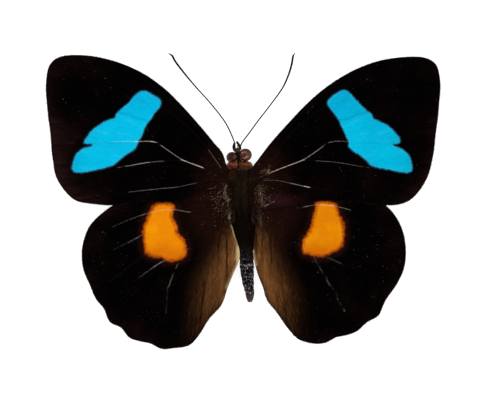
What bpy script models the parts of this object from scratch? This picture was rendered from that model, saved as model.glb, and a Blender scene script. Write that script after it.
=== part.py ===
# A butterfly, dried with its wings spread flat, lying on its underside.
# +X is the insect's right, +Y runs out past its head and +Z is up.
# The origin is on the ground under the middle of the spread outline.
# Every length below is in millimetres, and MM turns it into metres.

from math import atan2, ceil, cos, degrees, exp, hypot, pi, radians, sin

import bmesh
import bpy
from mathutils import Matrix, Vector
from mathutils.geometry import delaunay_2d_cdt

MM = 0.001
LEFT = -1
RIGHT = 1
SIDES = (("left", LEFT), ("right", RIGHT))

# Driving dimensions of the wings
WING_THICKNESS = 0.12
WING_ROOT = 2.0          # distance of the wing roots from the body's middle line
ROOT_HEIGHT = 3.45       # height of the forewing's middle surface at its root
RISE = 0.055             # upward slope of the wings at the root
BEND = 0.0006            # how fast that slope flattens towards the tips
HINDWING_DROP = 0.35     # the hindwing lies this far below the forewing
RIM_STEP = 0.9           # spacing of the points along a wing's edge
INNER_STEP = 2.0         # spacing of the points inside a wing
PLEAT_DEPTH = 0.13       # half the height of the pleats at the outer margin
PLEAT_REACH = 26.0       # distance from the root at which they are that deep
FOREWING_PLEATS = 8.5    # degrees from one pleat to the next
HINDWING_PLEATS = 10.5
FOLD_DROP = 0.30         # how far the hindwing's inner margin turns down
FOLD_WIDTH = 1.1
FOLD_LINE = [(2.0, -2.0), (0.6, -8.5), (3.3, -15.5)]

# Outlines of the wings, each point given as distance outwards and distance forwards
FOREWING_OUTLINE = {
    "left": [
        (2.12, 5.02), (2.50, 5.60), (2.68, 6.25), (3.10, 7.30), (4.05, 8.42), (6.04, 10.84),
        (9.20, 14.38), (11.70, 16.80), (15.20, 19.20), (19.50, 20.90), (24.00, 21.65),
        (27.20, 21.30), (28.60, 20.10), (29.10, 17.40), (28.95, 14.00), (28.50, 10.30),
        (28.15, 6.50), (27.60, 3.60), (26.20, 1.40), (24.70, 0.10), (22.00, -0.42),
        (19.20, -0.60), (15.00, -0.05), (10.00, -0.10), (5.00, 0.00), (1.60, -0.25), (1.52, 2.20),
    ],
    "right": [
        (1.42, 4.98), (2.12, 6.00), (3.96, 8.44), (6.06, 10.84), (9.40, 14.38), (12.20, 16.80),
        (16.00, 19.20), (20.00, 20.75), (24.50, 21.40), (27.20, 21.15), (28.60, 20.20),
        (29.18, 17.80), (29.05, 14.40), (28.55, 10.00), (28.10, 6.50), (27.40, 3.80),
        (26.00, 1.40), (24.70, 0.15), (23.20, -0.45), (21.00, -0.60), (16.00, 0.00),
        (10.50, 0.00), (7.00, -0.75), (1.70, -0.85), (1.60, 2.20),
    ],
}
HINDWING_OUTLINE = {
    "left": [
        (1.74, 0.90), (5.00, 2.10), (10.00, 2.50), (14.50, 1.90), (17.20, 0.85), (19.40, -0.67),
        (21.10, -1.96), (22.60, -3.50), (23.50, -5.50), (23.85, -7.60), (23.60, -10.20),
        (22.70, -12.30), (21.70, -14.60), (20.60, -15.90), (19.70, -17.90), (18.00, -18.80),
        (16.90, -20.15), (15.20, -20.80), (13.70, -21.10), (12.00, -21.90), (10.20, -21.80),
        (8.00, -21.40), (6.60, -20.00), (5.00, -17.50), (3.10, -15.30), (2.28, -13.00),
        (1.36, -10.70), (0.54, -8.75), (0.50, -7.30), (1.30, -4.70), (1.90, -2.10), (1.62, -0.60),
    ],
    "right": [
        (1.80, 0.90), (5.00, 1.90), (10.00, 2.40), (15.00, 2.00), (18.60, 1.00), (21.30, -0.70),
        (22.90, -2.64), (23.92, -5.20), (24.15, -8.00), (23.75, -10.40), (22.60, -12.60),
        (21.14, -14.74), (20.06, -16.96), (18.46, -17.92), (17.00, -19.20), (15.40, -19.85),
        (13.80, -20.20), (12.40, -20.95), (10.90, -21.15), (9.30, -20.90), (8.00, -20.30),
        (6.60, -18.75), (4.85, -16.28), (3.62, -14.75), (2.95, -12.70), (2.30, -11.10),
        (1.75, -9.10), (1.55, -7.70), (1.75, -5.20), (2.05, -2.20), (1.76, -0.60),
    ],
}

# Sections of the body: forwards, sideways centre, half width, underside and top
THORAX_SECTIONS = [
    (4.85, -0.22, 1.28, 1.25, 3.50),
    (4.40, -0.12, 1.58, 0.60, 4.05),
    (3.40, 0.00, 1.66, -0.10, 4.45),
    (2.10, 0.03, 1.72, -0.28, 4.60),
    (0.70, 0.07, 1.74, -0.28, 4.50),
    (-0.60, 0.13, 1.64, -0.10, 4.10),
    (-1.60, 0.20, 1.50, 0.40, 3.70),
    (-2.20, 0.25, 1.22, 0.90, 3.25),
]
# Each ring of the abdomen: where it ends, sideways centre, half width and middle height
ABDOMEN_FRONT = (-2.35, 0.27, 1.20, 2.05)
ABDOMEN_RINGS = [
    (-4.00, 0.36, 1.50, 2.05),
    (-5.60, 0.42, 1.32, 2.00),
    (-7.20, 0.48, 1.00, 1.92),
    (-8.60, 0.56, 0.98, 1.86),
    (-9.90, 0.61, 0.98, 1.80),
    (-11.20, 0.69, 0.87, 1.74),
    (-12.50, 0.83, 0.74, 1.68),
    (-13.80, 1.04, 0.56, 1.62),
    (-14.80, 1.06, 0.28, 1.58),
]
RING_BULGE = 0.07

# The head is turned a little to the insect's left
HEAD_CENTRE = (-0.62, 6.72, 2.90)
HEAD_TURN = 12.0
HEAD_HALF = (0.95, 0.92, 0.98)
HEAD_CUT = 0.50          # the eyes sit against flats this far from the head's middle
EYES = {
    "left": (-1.01, 0.02, 0.05, 0.84),
    "right": (1.03, -0.02, 0.05, 0.92),
}
EYE_STRETCH = 1.12       # an eye is taller than it is long
GAP = 0.06               # between pieces that touch

# Routes of the thin parts
PALPS = {
    "left": [(-1.25, 7.58, 2.55), (-1.36, 7.95, 2.75), (-1.34, 8.35, 2.92), (-1.20, 8.74, 3.05)],
    "right": [(-0.36, 7.76, 2.60), (-0.42, 8.05, 2.80), (-0.62, 8.45, 2.95), (-0.95, 8.92, 3.05)],
}
PALP_RADII = (0.19, 0.20, 0.13, 0.05)
ANTENNAE = {
    "left": [
        (-1.13, 7.48, 3.43), (-1.22, 8.62, 3.75), (-1.70, 9.90, 4.00), (-2.55, 11.60, 4.28),
        (-4.70, 14.40, 4.70), (-7.00, 16.95, 5.05), (-8.80, 19.10, 5.30), (-10.00, 20.70, 5.45),
        (-10.42, 21.45, 5.50), (-10.95, 21.80, 5.48),
    ],
    "right": [
        (-0.46, 7.58, 3.43), (-0.22, 8.50, 3.75), (0.97, 10.15, 4.00), (2.10, 11.70, 4.25),
        (4.20, 14.40, 4.68), (5.90, 16.80, 5.02), (6.80, 18.80, 5.28), (7.25, 20.40, 5.44),
        (7.42, 21.40, 5.50), (7.70, 21.85, 5.48),
    ],
}
ANTENNA_RADIUS = 0.085
CLUB_RADIUS = 0.150
CLUB_LENGTH = 2.6
ANTENNA_STEP = 0.55
LEG_ROUTES = {
    "foreleg": [(0.62, 4.35, 0.42), (1.10, 4.75, 0.60), (1.05, 5.25, 1.05), (0.75, 5.70, 1.45)],
    "midleg": [
        (1.40, 2.60, 0.62), (2.60, 3.20, 0.80), (3.60, 3.55, 0.62), (3.10, 2.60, 0.30),
        (2.60, 1.40, 0.16), (2.35, -0.20, 0.14),
    ],
    "hindleg": [
        (1.46, 0.20, 0.62), (2.70, -0.60, 0.95), (3.70, -1.60, 0.80), (3.20, -2.80, 0.36),
        (2.70, -4.10, 0.16), (2.45, -5.60, 0.14),
    ],
}
LEG_RADII = {"foreleg": (0.13, 0.05), "midleg": (0.16, 0.07), "hindleg": (0.17, 0.07)}
MOUTH = (-0.72, 7.42, 2.12)
PROBOSCIS_CENTRE = (-0.77, 7.84, 1.68)
PROBOSCIS_TURNS = 1.8
PROBOSCIS_SIZE = (0.50, 0.20)
PROBOSCIS_RADIUS = 0.075

# Lobes: centre, half sizes and tilt about Y and Z
NECK = ((-0.35, 5.38, 2.35), (0.95, 0.40, 0.85), (0.0, 4.0))
COLLAR_LOBES = {
    "left": ((-1.58, 5.38, 3.60), (0.68, 0.47, 0.36), (-14.0, 10.0)),
    "right": ((0.42, 5.38, 3.66), (0.92, 0.47, 0.36), (8.0, -6.0)),
}
SHOULDER_FLAP = ((1.50, 3.58, 3.94), (0.58, 1.38, 0.12), (32.0, 0.0))


def clear_scene():
    for item in list(bpy.data.objects):
        bpy.data.objects.remove(item)


def make_material(name, colour, roughness):
    material = bpy.data.materials.new(name)
    material.use_nodes = True
    shader = material.node_tree.nodes["Principled BSDF"]
    shader.inputs["Base Color"].default_value = (*colour, 1.0)
    shader.inputs["Roughness"].default_value = roughness
    shader.inputs["Metallic"].default_value = 0.0
    return material


def add_object(name, shape, material, sharp_angle=50.0):
    """Scales a bmesh from millimetres to metres and links it as one named object."""
    bmesh.ops.scale(shape, vec=(MM, MM, MM), verts=shape.verts)
    bmesh.ops.recalc_face_normals(shape, faces=shape.faces)
    mesh = bpy.data.meshes.new(name)
    shape.to_mesh(mesh)
    shape.free()
    mesh.shade_smooth()
    mesh.set_sharp_from_angle(angle=radians(sharp_angle))
    mesh.materials.append(material)
    item = bpy.data.objects.new(name, mesh)
    bpy.context.scene.collection.objects.link(item)
    return item


# Curves

def between(before, start, end, after, share):
    """A point of the centripetal Catmull-Rom curve between start and end."""
    knots = [0.0]
    for a, b in ((before, start), (start, end), (end, after)):
        knots.append(knots[-1] + max((b - a).length, 1e-6) ** 0.5)
    t = knots[1] + (knots[2] - knots[1]) * share
    points = [before, start, end, after]
    for level in (1, 2, 3):
        for i in range(4 - level):
            low, high = knots[i], knots[i + level]
            if level == 3:
                low, high = knots[1], knots[2]
            elif level == 2:
                low, high = knots[i], knots[i + 2]
            points[i] = points[i] * ((high - t) / (high - low)) + points[i + 1] * ((t - low) / (high - low))
    return points[0]


def smooth_curve(points, step, closed=False):
    """Points about step apart on a smooth curve through the given ones."""
    points = [Vector(p) for p in points]
    count = len(points)
    if closed:
        padded = [points[-1]] + points + points[:2]
        spans = count
    else:
        first = points[0] * 2 - points[1]
        last = points[-1] * 2 - points[-2]
        padded = [first] + points + [last]
        spans = count - 1
    curve = []
    for i in range(spans):
        pieces = max(1, ceil((padded[i + 2] - padded[i + 1]).length / step))
        curve += [between(*padded[i:i + 4], n / pieces) for n in range(pieces)]
    if not closed:
        curve.append(points[-1])
    return curve


# Wings

def smooth_step(value):
    value = min(1.0, max(0.0, value))
    return value * value * (3.0 - 2.0 * value)


def spread_height(out):
    """Height of the middle surface that the spread wings follow."""
    reach = out - WING_ROOT
    return ROOT_HEIGHT + RISE * reach - BEND * reach * reach


def pleats(out, forward, root_forward, spacing):
    """Shallow pleats that fan out from the root of a wing."""
    turn = degrees(atan2(forward - root_forward, out - WING_ROOT + 1.0))
    reach = hypot(out - WING_ROOT, forward - root_forward)
    return PLEAT_DEPTH * smooth_step(reach / PLEAT_REACH) * cos(2.0 * pi * turn / spacing)


def forewing_height(out, forward):
    clear = smooth_step((forward - 1.0) / 5.0)
    return spread_height(out) + clear * pleats(out, forward, 3.5, FOREWING_PLEATS)


def fold_place(forward):
    """How far out the hindwing's inner margin lies at a distance forwards."""
    near, middle, far = FOLD_LINE
    start, end = (near, middle) if forward > middle[1] else (middle, far)
    share = (forward - start[1]) / (end[1] - start[1])
    return start[0] + (end[0] - start[0]) * min(1.0, max(0.0, share))


def hindwing_height(out, forward):
    clear = smooth_step((-1.0 - forward) / 5.0)
    height = spread_height(out) - HINDWING_DROP + clear * pleats(out, forward, 0.5, HINDWING_PLEATS)
    turned = exp(-((out - fold_place(forward)) / FOLD_WIDTH) ** 2)
    return height - FOLD_DROP * turned * smooth_step(-forward / 3.0)


def rim_distance(point, rim):
    """Distance from a point to the nearest stretch of the rim, and whether the point is inside it."""
    nearest = 1e9
    inside = False
    for a, b in zip(rim, rim[1:] + rim[:1]):
        along = max(0.0, min(1.0, (point - a).dot(b - a) / max((b - a).length_squared, 1e-12)))
        nearest = min(nearest, (point - a.lerp(b, along)).length)
        if (a.y > point.y) != (b.y > point.y):
            if point.x < a.x + (b.x - a.x) * (point.y - a.y) / (b.y - a.y):
                inside = not inside
    return nearest, inside


def inner_points(rim):
    """A staggered grid of points inside the rim, clear of it."""
    row_step = INNER_STEP * 3 ** 0.5 / 2
    low = Vector((min(p.x for p in rim), min(p.y for p in rim)))
    high = Vector((max(p.x for p in rim), max(p.y for p in rim)))
    points = []
    for row in range(ceil((high.y - low.y) / row_step)):
        for column in range(ceil((high.x - low.x) / INNER_STEP)):
            stagger = 0.5 * (row % 2)
            point = low + Vector(((column + stagger) * INNER_STEP, (row + 0.5) * row_step))
            distance, inside = rim_distance(point, rim)
            if inside and distance > 0.55 * RIM_STEP:
                points.append(point)
    return points


def wing(name, outline, side, height_at, material):
    """A thin plate with the outline's shape, bent to follow its height."""
    rim = smooth_curve(outline, RIM_STEP, closed=True)
    rim_count = len(rim)
    loop = [(i, (i + 1) % rim_count) for i in range(rim_count)]
    points, _, faces, _, _, _ = delaunay_2d_cdt(rim + inner_points(rim), loop, [], 1, 1e-5)
    shape = bmesh.new()
    layers = []
    for lift in (WING_THICKNESS / 2, -WING_THICKNESS / 2):
        layers.append([shape.verts.new((side * p.x, p.y, height_at(p.x, p.y) + lift)) for p in points])
    top, bottom = layers
    uses = {}
    for face in faces:
        shape.faces.new([top[i] for i in face])
        shape.faces.new([bottom[i] for i in reversed(face)])
        for a, b in zip(face, face[1:] + face[:1]):
            uses[(a, b)] = True
    for a, b in uses:
        if (b, a) not in uses:
            shape.faces.new((top[b], top[a], bottom[a], bottom[b]))
    add_object(name, shape, material)


# Rounded bodies

def skin(rings, poles):
    """A closed skin over rings of points, ending in one pole past each end ring."""
    shape = bmesh.new()
    loops = [[shape.verts.new(p) for p in ring] for ring in rings]
    count = len(loops[0])
    for near, far in zip(loops, loops[1:]):
        for i in range(count):
            j = (i + 1) % count
            shape.faces.new((near[i], near[j], far[j], far[i]))
    for loop, pole in zip((loops[0], loops[-1]), poles):
        tip = shape.verts.new(pole)
        for i in range(count):
            shape.faces.new((loop[i], loop[(i + 1) % count], tip))
    return shape


def cross_section(forward, centre, half_width, low, high, count):
    """An upright oval ring across the body."""
    middle = (low + high) / 2
    ring = []
    for i in range(count):
        turn = 2.0 * pi * i / count
        ring.append(Vector((
            centre + half_width * cos(turn),
            forward,
            middle + (high - low) / 2 * sin(turn),
        )))
    return ring


def tube(route, radii, step, sides):
    """A tapered round tube along a smooth route, with pointed ends."""
    path = smooth_curve(route, step)
    lengths = [0.0]
    for a, b in zip(path, path[1:]):
        lengths.append(lengths[-1] + (b - a).length)
    rings = []
    across = None
    for i, point in enumerate(path):
        along = (path[min(i + 1, len(path) - 1)] - path[max(i - 1, 0)]).normalized()
        if across is None:
            across = along.orthogonal()
        across = (across - along * across.dot(along)).normalized()
        radius = radii(lengths[i], lengths[-1])
        rings.append([
            point + Matrix.Rotation(2.0 * pi * n / sides, 3, along) @ across * radius
            for n in range(sides)
        ])
    start = path[0] - (path[1] - path[0]).normalized() * radii(0.0, lengths[-1]) * 0.6
    end = path[-1] + (path[-1] - path[-2]).normalized() * radii(lengths[-1], lengths[-1]) * 0.8
    return skin(rings, (start, end))


def lobe(centre, half, tilt, rows=8, columns=12):
    """A rounded lobe with three half sizes, tilted about Y and then Z."""
    shape = bmesh.new()
    bmesh.ops.create_uvsphere(shape, u_segments=columns, v_segments=rows, radius=1.0)
    place = (
        Matrix.Translation(centre)
        @ Matrix.Rotation(radians(tilt[1]), 4, "Z")
        @ Matrix.Rotation(radians(tilt[0]), 4, "Y")
        @ Matrix.Diagonal((*half, 1.0))
    )
    bmesh.ops.transform(shape, matrix=place, verts=shape.verts)
    return shape


def cut_flat(shape, point, normal):
    """Removes what lies on the normal's side of a plane and closes the cut with a flat face."""
    geometry = shape.verts[:] + shape.edges[:] + shape.faces[:]
    cut = bmesh.ops.bisect_plane(
        shape, geom=geometry, dist=1e-5, plane_co=point, plane_no=normal, clear_outer=True
    )
    edges = [item for item in cut["geom_cut"] if isinstance(item, bmesh.types.BMEdge)]
    bmesh.ops.edgeloop_fill(shape, edges=edges)


def thorax(material):
    rings = [cross_section(*section, 20) for section in THORAX_SECTIONS]
    front = Vector((-0.22, 4.93, 2.35))
    rear = Vector((0.25, -2.28, 2.05))
    shape = skin(rings, (front, rear))
    cut_flat(shape, (0.0, 0.0, 0.0), (0.0, 0.0, -1.0))
    add_object("thorax", shape, material)


def abdomen(material):
    """Nine rings, each a little fuller in its middle than where it meets the next."""
    sections = [ABDOMEN_FRONT]
    for ring in ABDOMEN_RINGS:
        last = sections[-1]
        for share in (0.30, 0.75):
            blend = [a + (b - a) * share for a, b in zip(last, ring)]
            blend[2] += RING_BULGE
            sections.append(tuple(blend))
        sections.append(ring)
    rings = []
    for forward, centre, half, middle in sections:
        rings.append(cross_section(forward, centre, half, middle - half, middle + half, 16))
    front = Vector((0.27, -2.38, 2.05))
    tip = Vector((1.06, -14.92, 1.58))
    add_object("abdomen", skin(rings, (front, tip)), material)


def head_place():
    return Matrix.Translation(HEAD_CENTRE) @ Matrix.Rotation(radians(HEAD_TURN), 4, "Z")


def head(material):
    shape = bmesh.new()
    bmesh.ops.create_uvsphere(shape, u_segments=16, v_segments=10, radius=1.0)
    bmesh.ops.transform(shape, matrix=Matrix.Diagonal((*HEAD_HALF, 1.0)), verts=shape.verts)
    for side in (LEFT, RIGHT):
        cut_flat(shape, (side * HEAD_CUT, 0.0, 0.0), (side, 0.0, 0.0))
    bmesh.ops.transform(shape, matrix=head_place(), verts=shape.verts)
    add_object("head", shape, material)


def eye(name, side, material):
    """A bulging eye, flat where it sits against the head."""
    out, forward, up, radius = EYES[name]
    shape = bmesh.new()
    bmesh.ops.create_uvsphere(shape, u_segments=16, v_segments=10, radius=radius)
    stretch = Matrix.Diagonal((1.0, 1.0, EYE_STRETCH, 1.0))
    bmesh.ops.transform(shape, matrix=Matrix.Translation((out, forward, up)) @ stretch, verts=shape.verts)
    cut_flat(shape, (side * (HEAD_CUT + GAP), 0.0, 0.0), (-side, 0.0, 0.0))
    bmesh.ops.transform(shape, matrix=head_place(), verts=shape.verts)
    add_object(f"eye_{name}", shape, material)


def taper(start, end):
    return lambda along, length: start + (end - start) * along / length


def palp_radius(along, length):
    place = along / length * (len(PALP_RADII) - 1)
    i = min(int(place), len(PALP_RADII) - 2)
    return PALP_RADII[i] + (PALP_RADII[i + 1] - PALP_RADII[i]) * (place - i)


def antenna_radius(along, length):
    """Even for most of its length, then a slim club that narrows again at the tip."""
    swell = smooth_step((along - (length - CLUB_LENGTH)) / (CLUB_LENGTH * 0.6))
    narrow = 1.0 - 0.6 * smooth_step((along - (length - 0.7)) / 0.7)
    return (ANTENNA_RADIUS + (CLUB_RADIUS - ANTENNA_RADIUS) * swell) * narrow


def proboscis(material):
    """A flat spiral under the face, standing along the insect's length and starting at the mouth."""
    centre = Vector(PROBOSCIS_CENTRE)
    outer, inner = PROBOSCIS_SIZE
    route = [Vector(MOUTH)]
    steps = ceil(PROBOSCIS_TURNS * 12)
    for i in range(steps + 1):
        turn = radians(80.0) - 2.0 * pi * PROBOSCIS_TURNS * i / steps
        radius = outer + (inner - outer) * i / steps
        route.append(centre + Vector((0.0, radius * cos(turn), radius * sin(turn))))
    add_object("proboscis", tube(route, taper(PROBOSCIS_RADIUS, 0.04), 1.0, 6), material)


def leg(kind, name, side, material):
    route = [(side * x, y, z) for x, y, z in LEG_ROUTES[kind]]
    shape = tube(route, taper(*LEG_RADII[kind]), 0.55, 6)
    add_object(f"{kind}_{name}", shape, material)


def build():
    clear_scene()
    black = make_material("wing_black", (0.006, 0.003, 0.004), 0.60)
    brown_black = make_material("hindwing_black", (0.010, 0.004, 0.004), 0.60)
    body_brown = make_material("thorax_hair", (0.020, 0.014, 0.008), 0.80)
    grey = make_material("abdomen_grey", (0.060, 0.050, 0.052), 0.70)
    head_brown = make_material("head_brown", (0.040, 0.022, 0.012), 0.70)
    eye_brown = make_material("eye_brown", (0.110, 0.045, 0.028), 0.30)
    rust = make_material("collar_rust", (0.120, 0.038, 0.020), 0.80)
    horn = make_material("horn_black", (0.010, 0.007, 0.006), 0.45)

    for name, side in SIDES:
        wing(f"forewing_{name}", FOREWING_OUTLINE[name], side, forewing_height, black)
        wing(f"hindwing_{name}", HINDWING_OUTLINE[name], side, hindwing_height, brown_black)
        eye(name, side, eye_brown)
        add_object(f"palp_{name}", tube(PALPS[name], palp_radius, 0.35, 8), head_brown)
        add_object(f"antenna_{name}", tube(ANTENNAE[name], antenna_radius, ANTENNA_STEP, 6), horn)
        add_object(f"collar_lobe_{name}", lobe(*COLLAR_LOBES[name]), rust)
        (out, forward, up), half, (lean, turn) = SHOULDER_FLAP
        flap = lobe((side * out, forward, up), half, (side * lean, turn))
        add_object(f"shoulder_flap_{name}", flap, body_brown)
        for kind in LEG_ROUTES:
            leg(kind, name, side, horn)
    thorax(body_brown)
    abdomen(grey)
    add_object("neck", lobe(*NECK), body_brown)
    head(head_brown)
    proboscis(horn)


build()
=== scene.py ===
from math import radians

import bpy
import numpy as np
from mathutils import Matrix, Vector
from mathutils.geometry import delaunay_2d_cdt


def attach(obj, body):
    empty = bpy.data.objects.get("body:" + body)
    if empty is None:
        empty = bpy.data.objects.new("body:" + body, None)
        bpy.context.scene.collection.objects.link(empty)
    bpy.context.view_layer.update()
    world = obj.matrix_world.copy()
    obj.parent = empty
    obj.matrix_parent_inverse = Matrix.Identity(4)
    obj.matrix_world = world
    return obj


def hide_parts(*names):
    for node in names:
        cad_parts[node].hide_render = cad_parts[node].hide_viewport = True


# Lengths are in millimetres, in the frame's axes, and MM turns them into metres.
# A wing's points are given as distance outwards from the middle line and distance forwards.

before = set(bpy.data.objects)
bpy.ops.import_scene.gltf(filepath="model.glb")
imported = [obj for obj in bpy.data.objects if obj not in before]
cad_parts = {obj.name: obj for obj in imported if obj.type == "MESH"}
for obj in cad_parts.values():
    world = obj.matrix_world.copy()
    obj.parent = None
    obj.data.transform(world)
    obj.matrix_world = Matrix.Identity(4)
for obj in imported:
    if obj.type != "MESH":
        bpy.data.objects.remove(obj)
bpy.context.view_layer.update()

MM = 0.001
SIDES = (("left", -1), ("right", 1))
rng = np.random.default_rng(11)

# The picture, taken straight from above
PICTURE = (486, 411)
PIXELS_PER_MM = 6.75
BOX_MIDDLE_PIXEL = (242.8, 201.3)
CAMERA_DISTANCE = 260.0
WING_LEVEL = 4.0

# Form of the wings, as in the solids
WING_ROOT = 2.0
ROOT_HEIGHT = 3.45
RISE = 0.055
BEND = 0.0006
HINDWING_DROP = 0.35
PLEAT_DEPTH = 0.13
PLEAT_REACH = 26.0
FOREWING_PLEATS = 8.5
HINDWING_PLEATS = 10.5
FOLD_DROP = 0.30
FOLD_WIDTH = 1.1
FOLD_LINE = [(2.0, -2.0), (0.6, -8.5), (3.3, -15.5)]
MEMBRANE = 0.10          # thickness of the dressed wing
WING_STEP = 0.21         # spacing of the points in its mesh
RIM_STEP = 0.22
HINDWING_TURN = 4.4      # degrees that the right hindwing is set further forward than the left
FRONT_ROOT = {"forewing": (1.9, 4.9), "hindwing": (1.8, 0.9)}
FLOW_CENTRE = {"forewing": (1.0, 3.5), "hindwing": (1.0, 0.0)}
FLOW_SPREAD = 14.0       # millimetres across the scale rows for each radian round the root
RUB_ON_MEMBRANE = 0.10   # how much of a vein's rub shows on the membrane beside it
SHADE = {"left": 1.0, "right": 0.89}
# Purple sheen painted over the inner hind part of each forewing: its middle, size and strength
SHEEN_PLACE = (5.4, 0.2)
SHEEN_SIZE = (2.3, 0.8)
SHEEN_STRENGTH = {"left": 0.30, "right": 0.65}
OUTER_REDNESS = {"left": 1.2, "right": 0.6}
TURN_CENTRE = (2.0, -0.3)

# Veins: route, radius at the root and radius at the end
FOREWING_VEINS = [
    ([(2.1, 4.6), (4.6, 8.2), (8.0, 12.2), (11.6, 15.7), (15.0, 18.2), (18.4, 19.9)], 0.095, 0.060),
    ([(1.9, 3.8), (3.3, 5.1), (5.0, 7.5), (7.4, 10.3), (10.8, 13.1), (13.4, 14.6)], 0.105, 0.070),
    ([(11.6, 13.6), (14.6, 16.4), (18.4, 19.0), (21.6, 20.7)], 0.070, 0.055),
    ([(13.4, 14.6), (17.4, 17.4), (21.6, 19.8), (25.4, 21.5)], 0.070, 0.055),
    ([(19.6, 18.8), (23.8, 20.0), (28.6, 19.6)], 0.062, 0.052),
    ([(13.4, 14.6), (16.4, 15.6), (21.0, 16.6), (29.2, 16.9)], 0.066, 0.052),
    ([(13.4, 14.6), (13.9, 13.2), (13.9, 11.8), (13.2, 10.0), (12.7, 8.7)], 0.058, 0.058),
    ([(13.9, 12.6), (17.0, 12.9), (22.0, 13.2), (29.1, 13.0)], 0.066, 0.052),
    ([(1.9, 3.3), (4.0, 4.2), (6.0, 5.0), (9.0, 6.15), (11.0, 7.5), (12.7, 8.7)], 0.105, 0.072),
    ([(12.7, 8.7), (13.8, 8.9), (16.0, 8.85), (19.3, 8.8), (24.0, 8.6), (28.5, 8.4)], 0.072, 0.052),
    ([(9.0, 6.1), (11.0, 6.0), (14.0, 5.75), (17.0, 5.25), (21.0, 4.6), (27.8, 3.6)], 0.072, 0.052),
    ([(6.0, 5.0), (9.5, 4.6), (14.0, 4.0), (20.0, 3.0), (26.8, 1.9)], 0.066, 0.052),
    ([(1.9, 2.9), (3.3, 3.1), (5.0, 3.1), (7.0, 2.7), (9.8, 2.1), (12.0, 1.9), (17.0, 1.35), (21.0, 0.85),
      (25.2, 0.3)], 0.085, 0.052),
    ([(2.4, -1.0), (3.3, -0.65), (4.7, 0.0), (5.0, 0.8), (5.7, 1.1)], 0.070, 0.060),
]
HINDWING_VEINS = [
    ([(1.9, 0.3), (5.5, 1.4), (10.0, 1.6), (15.0, 0.7), (20.3, -1.6)], 0.085, 0.052),
    ([(1.9, -0.5), (4.6, -1.6), (7.9, -1.6), (10.0, -1.25), (12.0, -1.3), (15.0, -2.05), (19.3, -3.8),
      (23.7, -6.3)], 0.090, 0.052),
    ([(9.4, -1.4), (11.4, -2.9), (15.0, -5.05), (17.0, -6.1), (19.2, -7.2), (23.8, -9.6)], 0.066, 0.052),
    ([(10.0, -1.9), (10.4, -3.4), (10.0, -4.4), (9.4, -5.6), (8.7, -6.4)], 0.055, 0.055),
    ([(10.3, -3.6), (13.6, -7.1), (17.6, -10.3), (22.6, -13.9)], 0.066, 0.052),
    ([(1.9, -1.1), (4.2, -3.2), (6.6, -5.0), (8.7, -6.4)], 0.090, 0.070),
    ([(8.7, -6.4), (10.2, -7.9), (12.2, -9.1), (14.8, -10.9), (17.6, -14.0), (20.4, -17.4)], 0.070, 0.052),
    ([(7.6, -5.7), (8.8, -7.9), (9.8, -9.6), (11.0, -12.6), (13.2, -17.0), (15.4, -21.2)], 0.070, 0.052),
    ([(5.4, -4.1), (6.6, -7.4), (8.0, -11.6), (9.4, -16.4), (10.3, -22.2)], 0.068, 0.052),
    ([(2.0, -1.7), (3.3, -4.6), (4.6, -9.0), (5.8, -14.0), (6.9, -20.8)], 0.075, 0.052),
    ([(1.9, -2.2), (2.45, -5.0), (2.35, -8.5), (2.9, -12.0), (3.7, -15.8)], 0.070, 0.052),
]

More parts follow.
